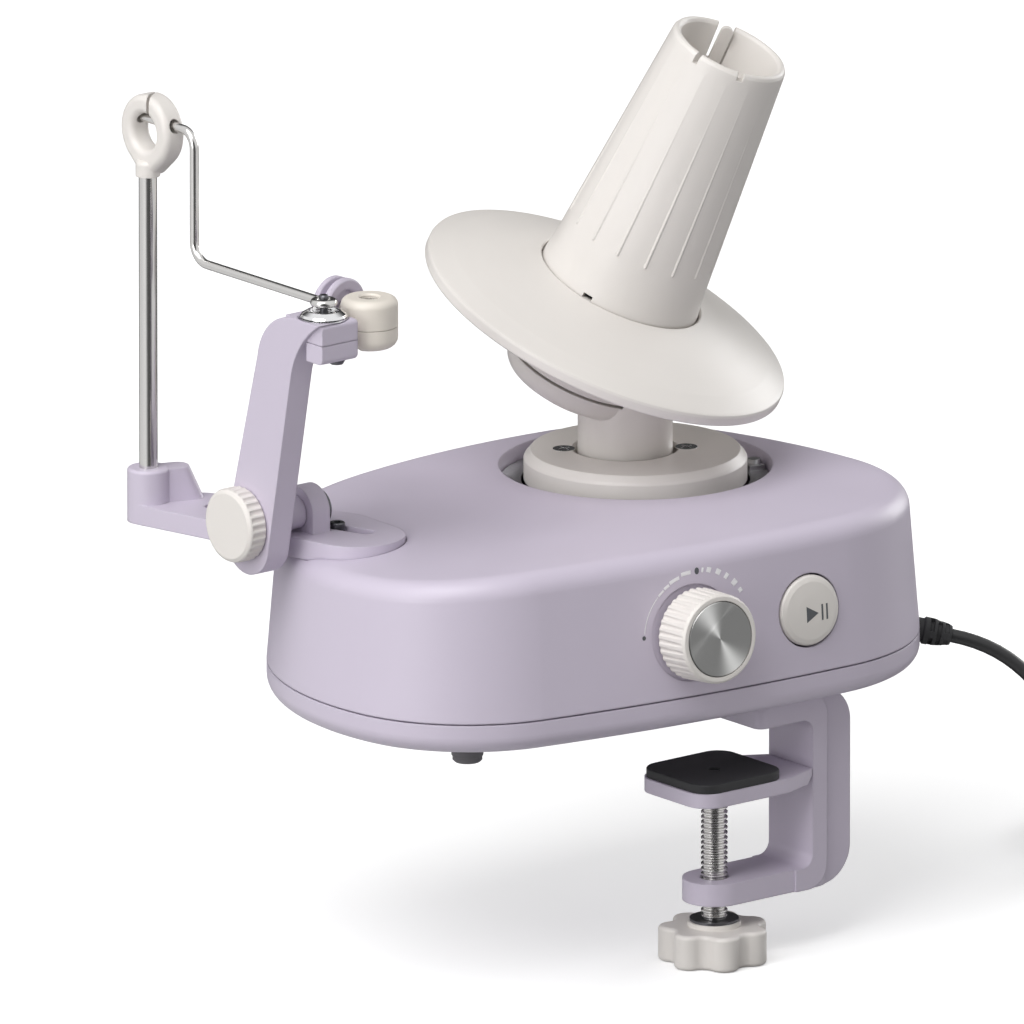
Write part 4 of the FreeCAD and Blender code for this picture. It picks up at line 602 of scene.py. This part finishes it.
def lay_film(piece, target, finish, body):
    """Pull a flat piece on a CAD surface, give it a film's thickness and a finish."""
    wrap = piece.modifiers.new("lie_on_surface", "SHRINKWRAP")
    wrap.target = frame["nodes"][target]
    wrap.wrap_mode = "ABOVE_SURFACE"
    wrap.offset = FILM * FILM_RISE
    film = piece.modifiers.new("film", "SOLIDIFY")
    film.thickness = FILM
    film.offset = 0.0
    for modifier in ("lie_on_surface", "film"):
        bpy.ops.object.modifier_apply(modifier=modifier)
    piece.data.materials.append(finish)
    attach(piece, body)


def flat_start(name, wide, high, cuts):
    """A plane of this size, cut finer, in the plane of its own X and Y."""
    bpy.ops.object.select_all(action="DESELECT")
    bpy.ops.mesh.primitive_plane_add(size=1.0, location=(0.0, 0.0, 0.0))
    piece = bpy.context.object
    piece.name = name
    bpy.ops.object.mode_set(mode="EDIT")
    bpy.ops.mesh.select_all(action="SELECT")
    bpy.ops.transform.resize(value=(wide, high, 1.0))
    bpy.ops.mesh.subdivide(number_cuts=cuts)
    bpy.ops.object.mode_set(mode="OBJECT")
    return piece


# %% Scale round the dial
# Each row: first angle, last angle, radius in mm, width in mm
DASHES = [
    (173.0, 133.4, 21.7, 0.34),
    (132.6, 124.4, 21.7, 0.85),
    (123.2, 116.6, 21.9, 1.1),
    (115.2, 103.4, 22.3, 1.35),
    (100.6, 89.8, 23.0, 1.5),
    (78.1, 75.9, 23.7, 1.9),
    (72.6, 67.8, 24.1, 2.0),
    (62.4, 57.4, 24.6, 2.1),
    (52.1, 48.5, 24.9, 2.3),
    (42.4, 37.4, 25.2, 2.4),
    (32.4, 28.6, 25.4, 1.7),
]
# A dash that spans more degrees than this is cut finer
LONG_DASH = 8
LONG_CUTS = 12
SHORT_CUTS = 5
# Each row: name, angle, radius in mm, half width, half height in mm
SPOTS = [
    ("dial_dot", 176.9, 21.95, 0.78, 0.85),
    ("dial_oval", 83.1, 23.3, 0.98, 1.35),
]
SPOT_POINTS = 24


def on_dial(angle, radius):
    """A point of the wall round the dial."""
    turn = math.radians(angle)
    out = WALL_RIGHT * math.cos(turn) + WALL_UP * math.sin(turn)
    return DIAL_CENTRE + out * radius + WALL_NORMAL * START_LIFT


for number, (first, last, radius, wide) in enumerate(DASHES):
    cuts = LONG_CUTS if first - last > LONG_DASH else SHORT_CUTS
    dash = flat_start(f"dial_dash_{number}", 1.0, wide * MM, cuts)
    for vertex in dash.data.vertices:
        angle = first + (last - first) * (vertex.co.x + 0.5)
        vertex.co = on_dial(angle, radius * MM + vertex.co.y)
    lay_film(dash, "upper_housing", print_white, "housing")

for name, angle, radius, half_wide, half_high in SPOTS:
    bpy.ops.object.select_all(action="DESELECT")
    bpy.ops.mesh.primitive_circle_add(
        vertices=SPOT_POINTS, radius=1.0, fill_type="TRIFAN", location=(0.0, 0.0, 0.0),
    )
    spot = bpy.context.object
    spot.name = name
    middle = on_dial(angle, radius * MM)
    for vertex in spot.data.vertices:
        sideways = WALL_RIGHT * (vertex.co.x * half_wide * MM)
        vertex.co = middle + sideways + WALL_UP * (vertex.co.y * half_high * MM)
    lay_film(spot, "upper_housing", print_grey, "housing")
print("marks on the dial", len(DASHES) + len(SPOTS))

# %% Play and pause symbol
BUTTON_MIDDLE = Vector((0.0026, -0.0216, 0.046))
SIGN_LIFT = 0.005
SIGN_START = BUTTON_MIDDLE + WALL_NORMAL * SIGN_LIFT
SIGN_CUTS = 5
# The arrow narrows to a point at its right, where this share of its height is gone
ARROW_NARROWS = 0.985
# Each row: name, left, right, low and high in mm
SIGNS = [
    ("play_arrow", -2.55, 2.75, -4.25, 1.95),
    ("pause_bar_left", 4.25, 5.05, -4.2, 1.95),
    ("pause_bar_right", 6.5, 7.3, -4.2, 1.95),
]
for name, left, right, bottom, top in SIGNS:
    sign = flat_start(name, 1.0, 1.0, SIGN_CUTS)
    for vertex in sign.data.vertices:
        part_way = vertex.co.x + 0.5
        squeeze = 1.0 - part_way * ARROW_NARROWS if name == "play_arrow" else 1.0
        across = left + (right - left) * part_way
        upwards = (bottom + top) / 2 + (top - bottom) * vertex.co.y * squeeze
        vertex.co = SIGN_START + WALL_RIGHT * (across * MM) + WALL_UP * (upwards * MM)
    lay_film(sign, "play_button", print_grey, "button")
print("symbol round", tuple(round(c, 4) for c in SIGN_START))

# %% [markdown]
# ## Studio
# A large soft lamp hangs high and a little to the left, so the tops are
# bright, the front falls off, and a soft shadow lies at the right. A smaller
# one low at the left lights the left end and the faces under the disc, and a
# weak one at the right gives that side an edge. The world fills the shadows.
# Bright metal shows what stands round it: in a studio that is white panels at
# the sides with dark gaps at the camera's side and behind, and only glossy
# rays see the gaps.

# %% Panels that bright metal shows
PANEL_DARK = 0.06
FRONT_SIDE = (-0.629, -0.777, 0.0)
# Each row: how far a direction is to the front where a gap is dark and where the white starts
PANEL_GAPS = ((0.97, 0.70), (-0.85, -0.40))


def panel_level(tree, heading):
    """White at the sides and dark in front and behind, by a level direction."""
    frontness = dot_with(tree, heading, FRONT_SIDE)
    gaps = [
        map_range(tree, frontness, dark, light, interpolation_type="SMOOTHSTEP")
        for dark, light in PANEL_GAPS
    ]
    both = maths(tree, "MULTIPLY", *gaps)
    return maths(tree, "ADD", maths(tree, "MULTIPLY", both, 1.0 - PANEL_DARK), PANEL_DARK)


# %% [markdown]
# ### Floor
# The floor is plain and pale. To the camera it gets a little of its own white
# on top of the lamps' light, so it turns white in the open and keeps the soft
# shadow. Far off, where the lamps fade, it gets more. For all other rays it is
# darker, so the underside isn't flooded, and glossy rays see the panels' gaps
# go on over it.

# %% Floor
FLOOR_Z = -0.0895
FLOOR_SIZE = 30.0
FLOOR_ROUGHNESS = 0.9
FLOOR_LIFT = 0.38
FAR_LIFT = 0.85
FAR_START = 0.8
FAR_END = 2.4
GLOSSY_LIFT = 0.50
FLOOR_SEEN = 0.80
FLOOR_BOUNCE = 0.36
bpy.ops.object.select_all(action="DESELECT")
bpy.ops.mesh.primitive_plane_add(size=FLOOR_SIZE, location=(0.0, 0.0, FLOOR_Z))
floor = bpy.context.object
floor.name = "floor"
floor.data.transform(floor.matrix_world)
floor.matrix_world = Matrix.Identity(4)
floor_material, floor_tree, floor_shader = new_material("pale_floor")
floor_shader.inputs["Roughness"].default_value = FLOOR_ROUGHNESS
floor_paths = floor_tree.nodes.new("ShaderNodeLightPath")
floor_camera = floor_paths.outputs["Is Camera Ray"]
floor_glossy = floor_paths.outputs["Is Glossy Ray"]
floor_place = place_of(floor_tree)
floor_level = add_node(
    floor_tree, "ShaderNodeVectorMath", [(0, floor_place), (1, (1.0, 1.0, 0.0))],
    operation="MULTIPLY",
).outputs[0]
floor_heading = add_node(
    floor_tree, "ShaderNodeVectorMath", [(0, floor_level)], operation="NORMALIZE",
).outputs[0]
floor_gap = maths(floor_tree, "SUBTRACT", 1.0, panel_level(floor_tree, floor_heading))
gap_seen = maths(floor_tree, "MULTIPLY", floor_glossy, floor_gap)
floor_open = maths(floor_tree, "SUBTRACT", 1.0, gap_seen)
camera_extra = FLOOR_SEEN - FLOOR_BOUNCE
floor_pale = maths(floor_tree, "MULTIPLY_ADD", floor_camera, camera_extra, FLOOR_BOUNCE)
floor_tone = maths(floor_tree, "MULTIPLY", floor_open, floor_pale)
floor_colour = add_node(
    floor_tree, "ShaderNodeCombineColor",
    [("Red", floor_tone), ("Green", floor_tone), ("Blue", floor_tone)],
).outputs["Color"]
floor_tree.links.new(floor_colour, floor_shader.inputs["Base Color"])
glossy_open = maths(floor_tree, "MULTIPLY", floor_glossy, floor_open)
glossy_lift = maths(floor_tree, "MULTIPLY", glossy_open, GLOSSY_LIFT)
floor_away = add_node(
    floor_tree, "ShaderNodeVectorMath", [(0, floor_place)], operation="LENGTH",
).outputs["Value"]
camera_lift = map_range(
    floor_tree, floor_away, FAR_START, FAR_END, FLOOR_LIFT, FAR_LIFT,
    interpolation_type="SMOOTHSTEP",
)
floor_lift = maths(floor_tree, "MULTIPLY_ADD", floor_camera, camera_lift, glossy_lift)
floor_shader.inputs["Emission Color"].default_value = (1.0, 1.0, 1.0, 1.0)
floor_tree.links.new(floor_lift, floor_shader.inputs["Emission Strength"])
floor.data.materials.append(floor_material)

# %% World
AMBIENT = 0.35
world = bpy.data.worlds.new("studio")
bpy.context.scene.world = world
world.use_nodes = True
world_tree = world.node_tree
background = world_tree.nodes["Background"]
paths = world_tree.nodes.new("ShaderNodeLightPath")
sky_heading = add_node(world_tree, "ShaderNodeTexCoord").outputs["Generated"]
camera_ray = paths.outputs["Is Camera Ray"]
glossy_ray = paths.outputs["Is Glossy Ray"]
for_gloss = maths(world_tree, "MULTIPLY", glossy_ray, panel_level(world_tree, sky_heading))
either_ray = maths(world_tree, "MAXIMUM", camera_ray, glossy_ray)
other_ray = maths(world_tree, "SUBTRACT", 1.0, either_ray)
for_others = maths(world_tree, "MULTIPLY", other_ray, AMBIENT)
for_camera_and_gloss = maths(world_tree, "ADD", camera_ray, for_gloss)
level = maths(world_tree, "ADD", for_camera_and_gloss, for_others)
world_tree.links.new(level, background.inputs["Strength"])
background.inputs["Color"].default_value = (1.0, 1.0, 1.0, 1.0)

# %% Lamps
# Each row: name, size in m, power in W, place, and the point that it faces
LAMPS = [
    ("high_lamp", 2.9, 112.0, (-2.1, -0.55, 3.35), (0.0, 0.08, 0.05)),
    ("low_lamp", 1.2, 15.0, (-2.2, -0.3, 0.60), (0.0, 0.08, 0.0)),
    ("edge_lamp", 1.0, 15.0, (1.9, 0.3, 0.5), (0.0, 0.08, 0.05)),
]


def area_lamp(name, size, strength, place, target):
    """A square soft lamp that faces a target."""
    data = bpy.data.lights.new(name, "AREA")
    data.size = size
    data.energy = strength
    lamp = bpy.data.objects.new(name, data)
    bpy.context.scene.collection.objects.link(lamp)
    lamp.location = place
    way = Vector(target) - Vector(place)
    lamp.rotation_mode = "QUATERNION"
    lamp.rotation_quaternion = way.to_track_quat("-Z", "Y")


for lamp_row in LAMPS:
    area_lamp(*lamp_row)

bpy.context.scene.view_settings.view_transform = "Standard"
